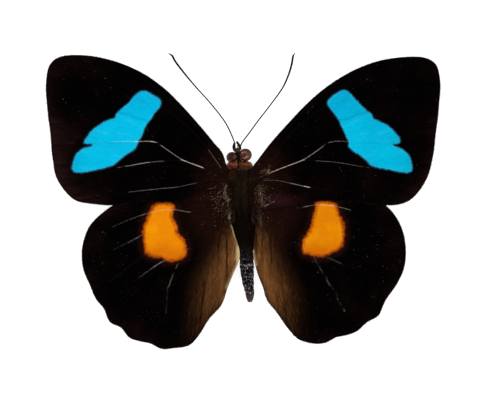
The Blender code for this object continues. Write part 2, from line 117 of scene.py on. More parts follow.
# Stretches of vein that are rubbed bare: route, half width and strength
RUBS = {
    ("forewing", "left"): [
        ([(5.8, 4.95), (9.0, 6.15)], 0.050, 1.00),
        ([(9.0, 6.15), (11.0, 7.5)], 0.044, 0.40),
        ([(11.0, 7.5), (12.7, 8.7)], 0.044, 0.45),
        ([(12.9, 8.75), (13.8, 8.9), (16.0, 8.85)], 0.050, 1.00),
        ([(16.0, 8.85), (19.3, 8.8)], 0.044, 0.40),
        ([(11.6, 6.0), (14.0, 5.75)], 0.044, 0.38),
        ([(14.0, 5.75), (17.0, 5.25)], 0.048, 0.90),
        ([(17.0, 5.25), (18.8, 4.95)], 0.044, 0.50),
        ([(7.0, 2.7), (9.8, 2.1)], 0.044, 0.12),
        ([(9.8, 2.1), (12.0, 1.9), (16.9, 1.35)], 0.044, 0.28),
        ([(13.3, 9.5), (14.3, 10.9)], 0.044, 0.25),
        ([(3.3, 5.1), (5.0, 7.5)], 0.050, 0.13),
        ([(25.0, 8.7), (28.0, 8.5)], 0.066, 0.12),
        ([(21.0, 0.9), (24.7, 0.4)], 0.055, 0.12),
        ([(16.7, 15.3), (17.3, 15.6)], 0.044, 0.18),
        ([(10.6, 14.5), (10.9, 15.0)], 0.044, 0.20),
    ],
    ("forewing", "right"): [
        ([(2.4, 3.5), (4.0, 4.2)], 0.045, 0.06),
        ([(4.0, 4.2), (6.0, 5.0), (9.0, 6.15)], 0.048, 0.78),
        ([(9.0, 6.15), (11.0, 7.5), (12.3, 8.5)], 0.044, 0.50),
        ([(12.3, 8.5), (13.5, 8.9), (15.8, 8.8)], 0.044, 0.38),
        ([(11.0, 6.0), (14.0, 5.75), (17.0, 5.25), (18.8, 4.95)], 0.044, 0.22),
        ([(3.3, 3.1), (5.0, 3.1), (7.0, 2.7)], 0.044, 0.15),
        ([(7.0, 2.7), (8.2, 2.43), (9.2, 2.2)], 0.044, 0.34),
        ([(9.2, 2.2), (9.9, 2.08)], 0.052, 1.00),
        ([(9.5, 13.0), (10.5, 14.2)], 0.050, 0.25),
        ([(3.3, -0.65), (4.7, 0.0)], 0.060, 0.90),
        ([(5.0, 0.8), (5.7, 1.1)], 0.060, 0.35),
    ],
    ("hindwing", "left"): [
        ([(7.9, -1.6), (10.0, -1.25)], 0.044, 0.25),
        ([(10.0, -1.25), (12.0, -1.3), (15.0, -2.05)], 0.044, 0.42),
        ([(15.0, -2.05), (17.0, -2.8), (19.3, -3.8)], 0.044, 0.24),
        ([(15.0, -5.05), (17.0, -6.1)], 0.058, 1.00),
        ([(17.0, -6.1), (19.2, -7.2)], 0.044, 0.42),
        ([(11.0, -8.6), (12.2, -9.1), (13.2, -9.75)], 0.058, 0.80),
        ([(13.2, -9.75), (14.8, -10.9), (15.6, -11.5)], 0.044, 0.50),
        ([(10.4, -10.9), (11.0, -12.6)], 0.060, 0.75),
        ([(9.6, -9.2), (9.9, -9.9)], 0.050, 0.45),
        ([(8.0, -7.0), (8.6, -7.4)], 0.050, 0.45),
        ([(9.6, -3.3), (9.95, -4.2)], 0.044, 0.35),
        ([(13.9, -7.35), (17.6, -10.3), (19.9, -12.0)], 0.044, 0.10),
        ([(11.15, -12.8), (11.4, -16.5)], 0.050, 0.35),
    ],
    ("hindwing", "right"): [
        ([(8.0, -0.95), (9.5, -0.75), (11.0, -0.58)], 0.050, 0.36),
        ([(11.0, -0.58), (12.05, -0.53), (13.5, -0.72)], 0.060, 0.70),
        ([(13.5, -0.72), (15.1, -1.05), (16.0, -1.3)], 0.050, 0.40),
        ([(12.0, -8.1), (13.6, -8.8), (14.6, -9.3)], 0.050, 0.85),
        ([(10.5, -8.2), (11.2, -9.6), (12.4, -11.3)], 0.050, 0.50),
        ([(12.4, -11.3), (12.6, -12.0), (13.1, -12.6)], 0.070, 0.85),
        ([(13.2, -12.8), (13.75, -13.3), (13.9, -13.9)], 0.050, 0.28),
        ([(14.0, -14.1), (14.2, -14.9), (14.7, -15.4)], 0.055, 0.42),
        ([(14.95, -15.95), (15.1, -16.3)], 0.080, 0.80),
        ([(8.3, -6.3), (9.0, -6.8)], 0.055, 0.40),
    ],
}

# Outlines of the markings
BAND = {
    "left": [
        (15.1, 16.3), (14.2, 16.3), (13.4, 15.85), (12.4, 15.3), (12.1, 14.8), (12.3, 13.9), (13.0, 13.15),
        (13.4, 12.4), (14.2, 11.4), (14.7, 10.3), (15.0, 9.5), (15.4, 9.0), (15.55, 8.4), (16.1, 7.6),
        (17.2, 6.9), (18.3, 6.0), (19.0, 5.4), (20.3, 4.95), (22.2, 4.5), (24.0, 4.2), (24.9, 4.3),
        (25.3, 4.8), (25.2, 5.6), (24.9, 6.5), (24.35, 7.3), (23.5, 7.9), (22.2, 8.25), (22.6, 8.45),
        (23.5, 8.55), (23.5, 8.9), (23.1, 9.5), (22.4, 10.45), (21.3, 11.3), (20.1, 12.0), (18.9, 12.4),
        (18.8, 12.85), (18.0, 13.7), (17.0, 14.5), (16.1, 15.6),
    ],
    "right": [
        (15.0, 16.5), (15.8, 16.1), (16.45, 15.4), (17.3, 14.5), (18.3, 13.5), (19.15, 12.8), (19.3, 12.3),
        (20.6, 11.7), (21.75, 11.0), (22.7, 10.0), (23.3, 9.2), (23.2, 8.6), (22.2, 8.4), (22.4, 8.2),
        (23.2, 7.95), (24.0, 7.4), (24.7, 6.6), (25.0, 5.6), (25.1, 4.8), (24.8, 4.3), (23.3, 4.3),
        (21.9, 4.6), (19.8, 5.0), (18.8, 5.35), (18.5, 5.8), (17.3, 6.8), (16.2, 7.5), (15.6, 8.2),
        (15.7, 8.7), (15.3, 9.5), (15.0, 10.3), (14.6, 11.0), (14.3, 11.8), (13.65, 12.8), (12.8, 13.9),
        (12.5, 14.7), (12.9, 15.3), (13.75, 15.95),
    ],
}
PATCH = {
    "left": [
        (10.5, -0.55), (10.35, -1.2), (10.6, -2.0), (10.4, -3.0), (9.9, -3.9), (9.95, -4.6), (9.4, -5.2),
        (8.8, -6.1), (8.6, -7.2), (8.6, -7.95), (9.5, -8.5), (10.6, -8.7), (11.4, -8.5), (12.3, -8.15),
        (13.8, -7.9), (14.35, -7.2), (14.55, -5.5), (14.55, -4.3), (14.2, -3.0), (13.85, -2.1),
        (13.4, -1.2), (12.9, -0.65),
    ],
    "right": [
        (11.1, -0.35), (11.0, -0.9), (10.85, -1.8), (10.5, -2.7), (10.3, -3.9), (9.7, -4.9), (9.15, -5.9),
        (9.05, -6.7), (9.15, -7.4), (9.95, -7.75), (11.4, -8.0), (12.5, -7.75), (13.9, -7.1), (14.6, -6.4),
        (14.8, -5.6), (14.8, -4.3), (14.65, -2.9), (14.15, -2.0), (13.9, -1.2), (13.4, -0.35),
    ],
}

# The brown area along the hindwing's inner margin: how far out it reaches at a distance forwards
BROWN_REACH = {
    "left": [
        (2.6, -3.2), (3.5, -5.0), (4.3, -7.0), (5.3, -9.0), (6.3, -11.0), (7.1, -13.5), (7.7, -17.0),
        (7.6, -22.0),
    ],
    "right": [
        (3.4, -3.0), (4.2, -5.0), (5.2, -8.0), (6.4, -10.5), (7.6, -13.0), (8.2, -17.0), (8.0, -22.0),
    ],
}
# Painted shade in its folds and broad painted shadows, and pale stretches along its edge that are a painted
# sheen: route, half width and strength
FOLDS_AND_SHADOWS = {
    "left": [
        ([(2.3, -4.6), (2.35, -6.5), (2.3, -9.0), (2.35, -11.0), (2.9, -14.0)], 0.13, 0.85),
        ([(3.45, -5.0), (3.6, -6.5), (3.7, -8.5)], 0.14, 0.55),
        ([(5.3, -11.0), (5.9, -14.0), (6.3, -18.5)], 0.22, 0.45),
    ],
    "right": [
        ([(2.95, -3.8), (2.9, -6.0), (2.75, -8.6)], 0.12, 0.50),
        ([(4.02, -4.6), (4.15, -7.0), (4.3, -9.2)], 0.14, 0.60),
        ([(5.6, -10.0), (6.1, -14.0), (6.4, -17.5)], 0.22, 0.45),
        ([(2.1, -9.6), (2.6, -11.2), (3.15, -13.0), (3.8, -14.9)], 0.16, 0.70),
        ([(1.95, -4.8), (1.9, -6.2), (1.95, -7.6)], 0.60, 0.72),
        ([(1.95, -7.6), (2.2, -9.0)], 0.50, 0.46),
    ],
}
PALE_SHEEN_EDGES = {
    "left": [
        ([(2.15, -1.4), (1.98, -2.6), (1.55, -3.9), (1.2, -5.1)], 0.16, 0.72),
        ([(1.2, -5.1), (0.85, -5.9), (0.6, -6.8)], 0.14, 0.50),
        ([(0.55, -6.9), (0.50, -7.9), (0.55, -9.0)], 0.46, 1.00),
        ([(0.8, -9.4), (1.45, -10.8), (2.3, -12.8)], 0.30, 0.62),
    ],
    "right": [
        ([(2.3, -0.6), (2.4, -2.0), (2.65, -3.4)], 0.26, 0.30),
        ([(2.65, -3.4), (2.6, -5.5)], 0.22, 0.14),
        ([(1.55, -7.3), (1.65, -8.3), (1.95, -9.5)], 0.15, 0.62),
    ],
}

# Pale tufts beside the thorax, at the roots of the forewings
TUFTS = {
    "left": [(2.4, 2.6), (2.75, 1.6), (2.4, 0.6), (2.1, -0.4)],
    "right": [(2.45, 2.6), (2.6, 1.5), (2.8, 0.2), (2.8, -0.6)],
}
STREAK = [(2.6, 4.0), (3.1, 4.5), (3.6, 4.2), (3.9, 5.3)]
# Painted shade in the creases across the band, and the lighter streaks in the brown area: route, half width
# and strength
CREASE_SHADE_LINES = [
    ([(18.6, 13.1), (17.0, 12.9), (16.0, 12.4), (15.0, 12.1), (14.4, 12.1)], 0.16, 0.80),
    ([(15.6, 15.2), (14.8, 14.8)], 0.22, 0.50),
    ([(15.7, 8.75), (19.3, 8.66), (23.3, 8.5)], 0.13, 0.60),
]
GOLDEN = {
    "left": [
        ([(1.5, -5.6), (1.45, -7.5), (1.5, -9.5)], 0.55, 0.75),
        ([(2.9, -5.4), (2.9, -8.5)], 0.35, 0.35),
    ],
    "right": [([(3.5, -5.2), (3.5, -9.0)], 0.32, 0.60), ([(3.4, -9.5), (4.2, -12.5)], 0.70, 0.10)],
}

# Form of the body, as in the solids
THORAX_SECTIONS = [
    (4.85, -0.22, 1.28, 1.25, 3.50), (4.40, -0.12, 1.58, 0.60, 4.05), (3.40, 0.00, 1.66, -0.10, 4.45),
    (2.10, 0.03, 1.72, -0.28, 4.60), (0.70, 0.07, 1.74, -0.28, 4.50), (-0.60, 0.13, 1.64, -0.10, 4.10),
    (-1.60, 0.20, 1.50, 0.40, 3.70), (-2.20, 0.25, 1.22, 0.90, 3.25),
]
THORAX_ENDS = [(-0.22, 4.93, 2.35), (0.25, -2.28, 2.05)]
ABDOMEN_FRONT = (-2.35, 0.27, 1.20, 2.05)
ABDOMEN_RINGS = [
    (-4.00, 0.36, 1.50, 2.05), (-5.60, 0.42, 1.32, 2.00), (-7.20, 0.48, 1.00, 1.92),
    (-8.60, 0.56, 0.98, 1.86), (-9.90, 0.61, 0.98, 1.80), (-11.20, 0.69, 0.87, 1.74),
    (-12.50, 0.83, 0.74, 1.68), (-13.80, 1.04, 0.56, 1.62), (-14.80, 1.06, 0.28, 1.58),
]
ABDOMEN_ENDS = [(0.27, -2.38, 2.05), (1.06, -14.92, 1.58)]
HEAD_CENTRE = (-0.62, 6.72, 2.90)
HEAD_TURN = 12.0
HEAD_HALF = (0.95, 0.92, 0.98)
HEAD_CUT = {"left": 0.38, "right": 0.27}      # how far the head reaches to each side of its middle
EYES = {"left": (-1.01, 0.02, 0.05, 0.84), "right": (1.03, -0.02, 0.05, 0.96)}
EYE_STRETCH = 1.12
# The direction in which each eye darkens, a painted shade
EYE_SHADE = {"left": (-1.15, 1.15, 0.42), "right": (0.45, 0.55, 0.0)}
PALPS = {
    "left": [(-1.25, 7.58, 2.55), (-1.36, 7.95, 2.75), (-1.34, 8.35, 2.92), (-1.20, 8.74, 3.05)],
    "right": [(-0.36, 7.76, 2.60), (-0.42, 8.05, 2.80), (-0.62, 8.45, 2.95), (-0.95, 8.92, 3.05)],
}
ANTENNAE = {
    "left": [
        (-1.13, 7.48, 3.43), (-1.22, 8.62, 3.75), (-1.70, 9.90, 4.00), (-2.55, 11.60, 4.28),
        (-4.70, 14.40, 4.70), (-7.00, 16.95, 5.05), (-8.80, 19.10, 5.30), (-10.00, 20.70, 5.45),
        (-10.42, 21.45, 5.50), (-10.95, 21.80, 5.48),
    ],
    "right": [
        (-0.46, 7.58, 3.43), (-0.22, 8.50, 3.75), (0.97, 10.15, 4.00), (2.10, 11.70, 4.25),
        (4.20, 14.40, 4.68), (5.90, 16.80, 5.02), (6.80, 18.80, 5.28), (7.25, 20.40, 5.44),
        (7.42, 21.40, 5.50), (7.70, 21.85, 5.48),
    ],
}
LEG_ROUTES = {
    "foreleg": [(0.62, 4.35, 0.42), (1.10, 4.75, 0.60), (1.05, 5.25, 1.05), (0.75, 5.70, 1.45)],
    "midleg": [
        (1.40, 2.60, 0.62), (2.60, 3.20, 0.80), (3.60, 3.55, 0.62), (3.10, 2.60, 0.30),
        (2.60, 1.40, 0.16), (2.35, -0.20, 0.14),
    ],
    "hindleg": [
        (1.46, 0.20, 0.62), (2.70, -0.60, 0.95), (3.70, -1.60, 0.80), (3.20, -2.80, 0.36),
        (2.70, -4.10, 0.16), (2.45, -5.60, 0.14),
    ],
}
LEG_RADII = {"foreleg": (0.12, 0.05), "midleg": (0.15, 0.06), "hindleg": (0.16, 0.06)}
MOUTH = (-0.72, 7.42, 2.12)
PROBOSCIS_CENTRE = (-0.77, 7.84, 1.68)
PROBOSCIS_TURNS = 1.8
PROBOSCIS_SIZE = (0.50, 0.20)
LOBES = {
    "neck": ((-0.35, 5.38, 2.35), (0.95, 0.40, 0.85), (0.0, 4.0)),
    "collar_lobe_left": ((-1.58, 5.38, 3.60), (0.68, 0.47, 0.36), (-14.0, 10.0)),
    "collar_lobe_right": ((0.42, 5.38, 3.66), (0.92, 0.47, 0.36), (8.0, -6.0)),
    "shoulder_flap_left": ((-1.50, 3.58, 3.94), (0.58, 1.38, 0.12), (-32.0, 0.0)),
    "shoulder_flap_right": ((1.50, 3.58, 3.94), (0.58, 1.38, 0.12), (32.0, 0.0)),
}
COLLAR_SEAM = -0.56      # where the painted shade in the seam between the two collar lobes lies

# Colours, linear
BLUE = (0.0010, 0.500, 0.760)
BLUE_DEEP = (0.0012, 0.385, 0.640)
BLUE_PALE = (0.060, 0.640, 0.800)
ORANGE = (0.760, 0.222, 0.0015)
ORANGE_GOLD = (0.820, 0.290, 0.002)
ORANGE_DEEP = (0.520, 0.080, 0.002)
BLACK = (0.0005, 0.0002, 0.0002)
RED_BLACK = (0.0098, 0.0034, 0.0034)
BASE_BROWN = (0.0096, 0.0028, 0.0019)
RUBBED = (0.82, 0.70, 0.63)
BROWN = (0.080, 0.0285, 0.0086)
BROWN_GOLD = (0.195, 0.078, 0.0225)
# Cream of the sheen painted along the hindwing's inner edge
CREAM_SHEEN = (0.560, 0.425, 0.235)
# Purple of the sheen painted on the forewings
SHEEN_PURPLE = (0.0260, 0.0068, 0.0085)
BAND_HALO = (0.003, 0.030, 0.052)
BAND_RIM = (0.030, 0.160, 0.240)
PATCH_HALO = (0.0210, 0.0048, 0.0030)
PATCH_RIM = (0.400, 0.062, 0.002)
BROWN_HALO = (0.0125, 0.0047, 0.0028)
BROWN_LIGHT = (0.250, 0.108, 0.033)
VEIN_DARK = ((0.0016, 0.0008, 0.0008), (0.0060, 0.0026, 0.0022))
EYE_BROWN = ((0.052, 0.011, 0.005), (0.180, 0.052, 0.030))
# Pale blotches painted on the eyes as highlights
EYE_PAINTED_HIGHLIGHT = (0.480, 0.300, 0.230)
EYE_RIM_AND_SHADE = (0.006, 0.002, 0.001)
THORAX_SPOT = (0.0190, 0.0220, 0.0240)
BODY_HIDE = ((0.0030, 0.0016, 0.0008), (0.0080, 0.0045, 0.0022))
ABDOMEN_HIDE = ((0.0012, 0.0006, 0.0004), (0.0040, 0.0022, 0.0016))
COLLAR_HIDE = ((0.045, 0.013, 0.007), (0.100, 0.034, 0.019))
ANTENNA_BLACK = (0.0022, 0.0013, 0.0011)
PALP_BROWN = (0.010, 0.005, 0.003)
LEG_BROWN = (0.022, 0.013, 0.009)
PROBOSCIS_BROWN = (0.030, 0.016, 0.009)
FLOOR_GREYS = ((0.36, 0.36, 0.36), (0.39, 0.39, 0.39))
UNDER_GREEN = ((0.120, 0.168, 0.066), (0.175, 0.218, 0.098))
UNDER_BASE = ((0.045, 0.025, 0.015), (0.075, 0.045, 0.028))
UNDER_MARGIN = (0.060, 0.036, 0.020)
UNDER_LINE = (0.055, 0.022, 0.012)

# Hair and scales: colour, how much it varies, a second colour and how seldom they lean towards it
HAIR = {
    "fringe": ((0.0035, 0.0018, 0.0016), 0.5, (0.020, 0.011, 0.008), 3.0),
    "stray": ((0.030, 0.021, 0.018), 0.8, (0.200, 0.160, 0.150), 3.0),
    "wing_base": ((0.0080, 0.0026, 0.0018), 0.45, (0.022, 0.009, 0.006), 3.0),
    "fleck": ((0.120, 0.066, 0.042), 0.65, (0.300, 0.210, 0.150), 3.0),
    "brown": ((0.074, 0.026, 0.0080), 0.34, (0.250, 0.103, 0.031), 2.4),
    "orange": ((0.58, 0.125, 0.003), 0.25, (0.78, 0.24, 0.004), 1.0),
    "thorax": ((0.0128, 0.0070, 0.0031), 0.40, (0.040, 0.026, 0.013), 3.0),
    "shoulder": ((0.032, 0.0085, 0.0042), 0.35),
    "thorax_side": ((0.0065, 0.0028, 0.0017), 0.5, (0.024, 0.014, 0.008), 3.0),
    "thorax_front": ((0.034, 0.0085, 0.0042), 0.35),
    "abdomen_dark": ((0.0024, 0.0009, 0.0003), 0.45, (0.009, 0.005, 0.002), 3.0),
    "abdomen_grey": ((0.0050, 0.0040, 0.0042), 0.55, (0.034, 0.028, 0.031), 2.4),
    "abdomen_light": ((0.250, 0.200, 0.215), 0.40, (0.52, 0.48, 0.50), 2.2),
    "abdomen_tip": ((0.036, 0.025, 0.018), 0.5, (0.16, 0.12, 0.09), 3.0),
    "abdomen_fur": ((0.0020, 0.0007, 0.0003), 0.45, (0.008, 0.004, 0.002), 3.0),
    "flank": ((0.0027, 0.0011, 0.0005), 0.45, (0.010, 0.005, 0.002), 3.0),
    "head": ((0.0120, 0.0064, 0.0034), 0.50, (0.070, 0.036, 0.022), 3.0),
    "face": ((0.034, 0.013, 0.008), 0.45, (0.220, 0.150, 0.110), 3.0),
    "palp": ((0.0085, 0.0042, 0.0028), 0.4, (0.060, 0.034, 0.022), 3.0),
    "tuft": ((0.042, 0.027, 0.011), 1.0, (0.300, 0.230, 0.130), 3.0),
    "streak": ((0.110, 0.052, 0.028), 0.60, (0.360, 0.250, 0.170), 3.0),
}
# Coats of the lobes: darker colour, lighter colour and the colour on the front
LOBE_COATS = {
    "collar_lobe_left": ((0.135, 0.030, 0.017), (0.390, 0.130, 0.085), (0.050, 0.006, 0.003)),
    "collar_lobe_right": ((0.100, 0.029, 0.0105), (0.360, 0.155, 0.062), (0.050, 0.007, 0.002)),
    "shoulder_flap_left": ((0.0068, 0.0036, 0.0020), (0.024, 0.013, 0.008), (0.030, 0.0082, 0.0042)),
    "shoulder_flap_right": ((0.0062, 0.0036, 0.0020), (0.024, 0.014, 0.008), (0.0105, 0.0046, 0.0046)),
    "neck": ((0.012, 0.0055, 0.0030), (0.045, 0.024, 0.014), (0.020, 0.009, 0.005)),
}

# How many hairs or scales each coat has
NUMBER = {
    "fringe": 1500, "stray": 420, "forewing": 2800, "hindwing": 1600, "tuft": 120, "streak": 45,
    "brown": 5200, "orange": 1500, "thorax": 9000, "thorax_side": 2200, "abdomen": 10500,
    "abdomen_fur": 3600, "abdomen_tip": 300, "flank": 3200, "head": 3000, "palp": 700, "collar": 2400,
    "flap": 1800, "neck": 1200,
}

# Stage and lights: place in metres, power and size
FLOOR_HALF = 450.0
FLOOR_LEVEL = -0.01
FLOOR_GLOW = 0.86
SKY = 0.70
LIGHTS = {
    "key_light": ((-0.28, 0.22, 0.52), 1.9, 0.40),
    "fill_light": ((0.34, -0.10, 0.48), 0.6, 0.45),
}


# Points and distances

def smooth_step(value):
    value = np.clip(value, 0.0, 1.0)
    return value * value * (3.0 - 2.0 * value)


def smooth_line(points, step, closed=False):
    """Points about step apart on a centripetal Catmull-Rom curve through the given ones."""
    points = np.asarray(points, float)
    if closed:
        padded = np.vstack([points[-1:], points, points[:2]])
    else:
        padded = np.vstack([2 * points[:1] - points[1:2], points, 2 * points[-1:] - points[-2:-1]])
    curve = []
    for i in range(len(padded) - 3):
        p = padded[i:i + 4]
        knots = np.concatenate([[0.0], np.cumsum(np.linalg.norm(np.diff(p, axis=0), axis=1) ** 0.5)])
        count = max(1, int(np.ceil(np.linalg.norm(p[2] - p[1]) / step)))
        t = knots[1] + (knots[2] - knots[1]) * (np.arange(count) / count)[:, None]
        a = [p[j] + (p[j + 1] - p[j]) * (t - knots[j]) / (knots[j + 1] - knots[j]) for j in range(3)]
        b = [a[j] + (a[j + 1] - a[j]) * (t - knots[j]) / (knots[j + 2] - knots[j]) for j in range(2)]
        curve.append(b[0] + (b[1] - b[0]) * (t - knots[1]) / (knots[2] - knots[1]))
    if not closed:
        curve.append(points[-1:])
    return np.vstack(curve)


def line_distance(points, line, closed=False):
    """Distance from each point to a line through given points."""
    line = np.asarray(line, float)
    starts = line if closed else line[:-1]
    ends = np.roll(line, -1, axis=0) if closed else line[1:]
    nearest = np.full(len(points), 1e9)
    for start, end in zip(starts, ends):
        way = end - start
        along = np.clip((points - start) @ way / max(way @ way, 1e-12), 0.0, 1.0)
        nearest = np.minimum(nearest, np.linalg.norm(points - start - along[:, None] * way, axis=1))
    return nearest


def is_inside(points, loop):
    inside = np.zeros(len(points), bool)
    for a, b in zip(loop, np.roll(loop, -1, axis=0)):
        if a[1] == b[1]:
            continue
        crosses = (a[1] > points[:, 1]) != (b[1] > points[:, 1])
        inside ^= crosses & (points[:, 0] < a[0] + (b[0] - a[0]) * (points[:, 1] - a[1]) / (b[1] - a[1]))
    return inside


def depth_inside(points, loop):
    """Distance to a closed outline, above zero inside it."""
    loop = np.asarray(loop, float)
    return line_distance(points, loop, closed=True) * np.where(is_inside(points, loop), 1.0, -1.0)


def strokes(points, lines):
    """How strongly each point is marked by soft strokes given as route, half width and strength."""
    marked = np.zeros(len(points))
    for route, width, strength in lines:
        distance = line_distance(points, smooth_line(route, 0.3))
        marked = np.maximum(marked, strength * np.exp(-(distance / width) ** 2))
    return marked


def units(vectors):
    return vectors / np.maximum(np.linalg.norm(vectors, axis=1), 1e-9)[:, None]


# Meshes

def add_mesh(name, verts, faces, materials, values=None, tints=None, slots=None, smooth=True):
    """One object from points in millimetres, with named values and colours on its points."""
    mesh = bpy.data.meshes.new(name)
    mesh.from_pydata((np.asarray(verts, float) * MM).tolist(), [], faces)
    for material in materials:
        mesh.materials.append(material)
    if slots is not None:
        mesh.polygons.foreach_set("material_index", slots)
    for key, data in (values or {}).items():
        kind, field = ("FLOAT_VECTOR", "vector") if np.ndim(data) == 2 else ("FLOAT", "value")
        layer = mesh.attributes.new(key, kind, "POINT")
        layer.data.foreach_set(field, np.asarray(data, np.float32).ravel())
    if tints is not None:
        layer = mesh.attributes.new("tint", "FLOAT_COLOR", "POINT")
        colours = np.hstack([tints, np.ones((len(tints), 1))])
        layer.data.foreach_set("color", colours.astype(np.float32).ravel())
    if smooth:
        mesh.shade_smooth()
    mesh.update()
    item = bpy.data.objects.new(name, mesh)
    bpy.context.scene.collection.objects.link(item)
    return item


def dress(item, slot, *nodes):
    """Hangs a finished piece under the root body and hides the solids that it stands for."""
    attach(item, "root")
    if nodes:
        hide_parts(*nodes)


def tube(path, radii, sides, first=0):
    """Points and faces of a round tube with closed ends, numbered from first."""
    path = np.asarray(path, float)
    count = len(path)
    along = units(np.gradient(path, axis=0))
    across = np.cross(along[0], (0.0, 0.0, 1.0) if abs(along[0][2]) < 0.9 else (1.0, 0.0, 0.0))
    turns = np.arange(sides) * 2.0 * np.pi / sides
    rings = []
    for i in range(count):
        across = across - along[i] * (across @ along[i])
        across /= np.linalg.norm(across)
        up = np.cross(along[i], across)
        ring = np.cos(turns)[:, None] * across + np.sin(turns)[:, None] * up
        rings.append(path[i] + ring * radii[i])
    start_point = path[:1] - along[:1] * radii[0] * 0.5
    end_point = path[-1:] + along[-1:] * radii[-1] * 0.7
    verts = np.vstack(rings + [start_point, end_point])
    faces = []
    for i in range(count - 1):
        for n in range(sides):
            m = (n + 1) % sides
            a, b = first + i * sides, first + (i + 1) * sides
            faces.append((a + n, a + m, b + m, b + n))
    start, end = first + count * sides, first + count * sides + 1
    last = first + (count - 1) * sides
    for n in range(sides):
        m = (n + 1) % sides
        faces.append((first + m, first + n, start))
        faces.append((last + n, last + m, end))
    return verts, faces


def drawn(span, count):
    """Random values between two limits, or the given ones."""
    return rng.uniform(*span, count) if isinstance(span, tuple) else span


def hair_mesh(roots, ways, lengths, widths, tints, bend=None, flat=1.0, taper=0.55, knees=(0.45,)):
    """Points, faces and colours of many tapered three-sided hairs.

    bend is how far each hair's tip is carried off its straight way, as a vector.
    flat is the share of its width that a hair keeps in the direction nearest to upright.
    Lengths and widths are given for each hair, or as two limits.
    """
    count = len(roots)
    lengths, widths = drawn(lengths, count), drawn(widths, count)
    ways = units(ways)
    bend = np.zeros_like(ways) if bend is None else bend
    across = units(np.cross(ways, np.tile((0.0, 0.0, 1.0), (count, 1))))
    above = np.cross(across, ways)
    levels = (0.0,) + tuple(knees)
    rings = []
    for level in levels:
        spine = roots + ways * (lengths * level)[:, None] + bend * level ** 2
        width = (widths * (1.0 - taper * level))[:, None]
        for turn in (0.5, 2.6, 4.7):
            rings.append(spine + across * np.cos(turn) * width + above * np.sin(turn) * width * flat)
    tips = roots + ways * lengths[:, None] + bend
    per_hair = 3 * len(levels) + 1
    verts = np.stack(rings + [tips], axis=1).reshape(-1, 3)
    base = np.arange(count) * per_hair
    top = per_hair - 4
    blocks = [np.stack([base + 2, base + 1, base], 1)]
    for n in range(3):
        m = (n + 1) % 3
        blocks.append(np.stack([base + top + n, base + top + m, base + per_hair - 1], 1))
        for low in range(0, top, 3):
            ring = base + low
            blocks.append(np.stack([ring + n, ring + m, ring + 3 + m, ring + 3 + n], 1))
    faces = [face for block in blocks for face in block.tolist()]
    return verts, faces, np.repeat(tints, per_hair, axis=0)


def joined(parts):
    """Several sets of points, faces and colours as one."""
    faces = []
    first = 0
    for verts, part_faces, _ in parts:
        faces += [[i + first for i in face] for face in part_faces]
        first += len(verts)
    return np.vstack([part[0] for part in parts]), faces, np.vstack([part[2] for part in parts])


def add_hair(name, slot, material, *parts):
    verts, faces, tints = joined(parts)
    verts[:, 2] = np.maximum(verts[:, 2], 0.01)
    dress(add_mesh(name, verts, faces, [material], tints=tints, smooth=False), slot)


def varied(mixture, count):
    """Colours that vary from hair to hair, and lean at random towards a second one if there is one."""
    colour, spread, *second = mixture
    colours = np.tile(colour, (count, 1)).astype(float)
    if second:
        other, seldom = second
        mixed = (rng.random(count) ** seldom)[:, None]
        colours = colours * (1.0 - mixed) + np.asarray(other) * mixed
    return colours * np.exp(rng.normal(0.0, spread, (count, 1)))


# Materials

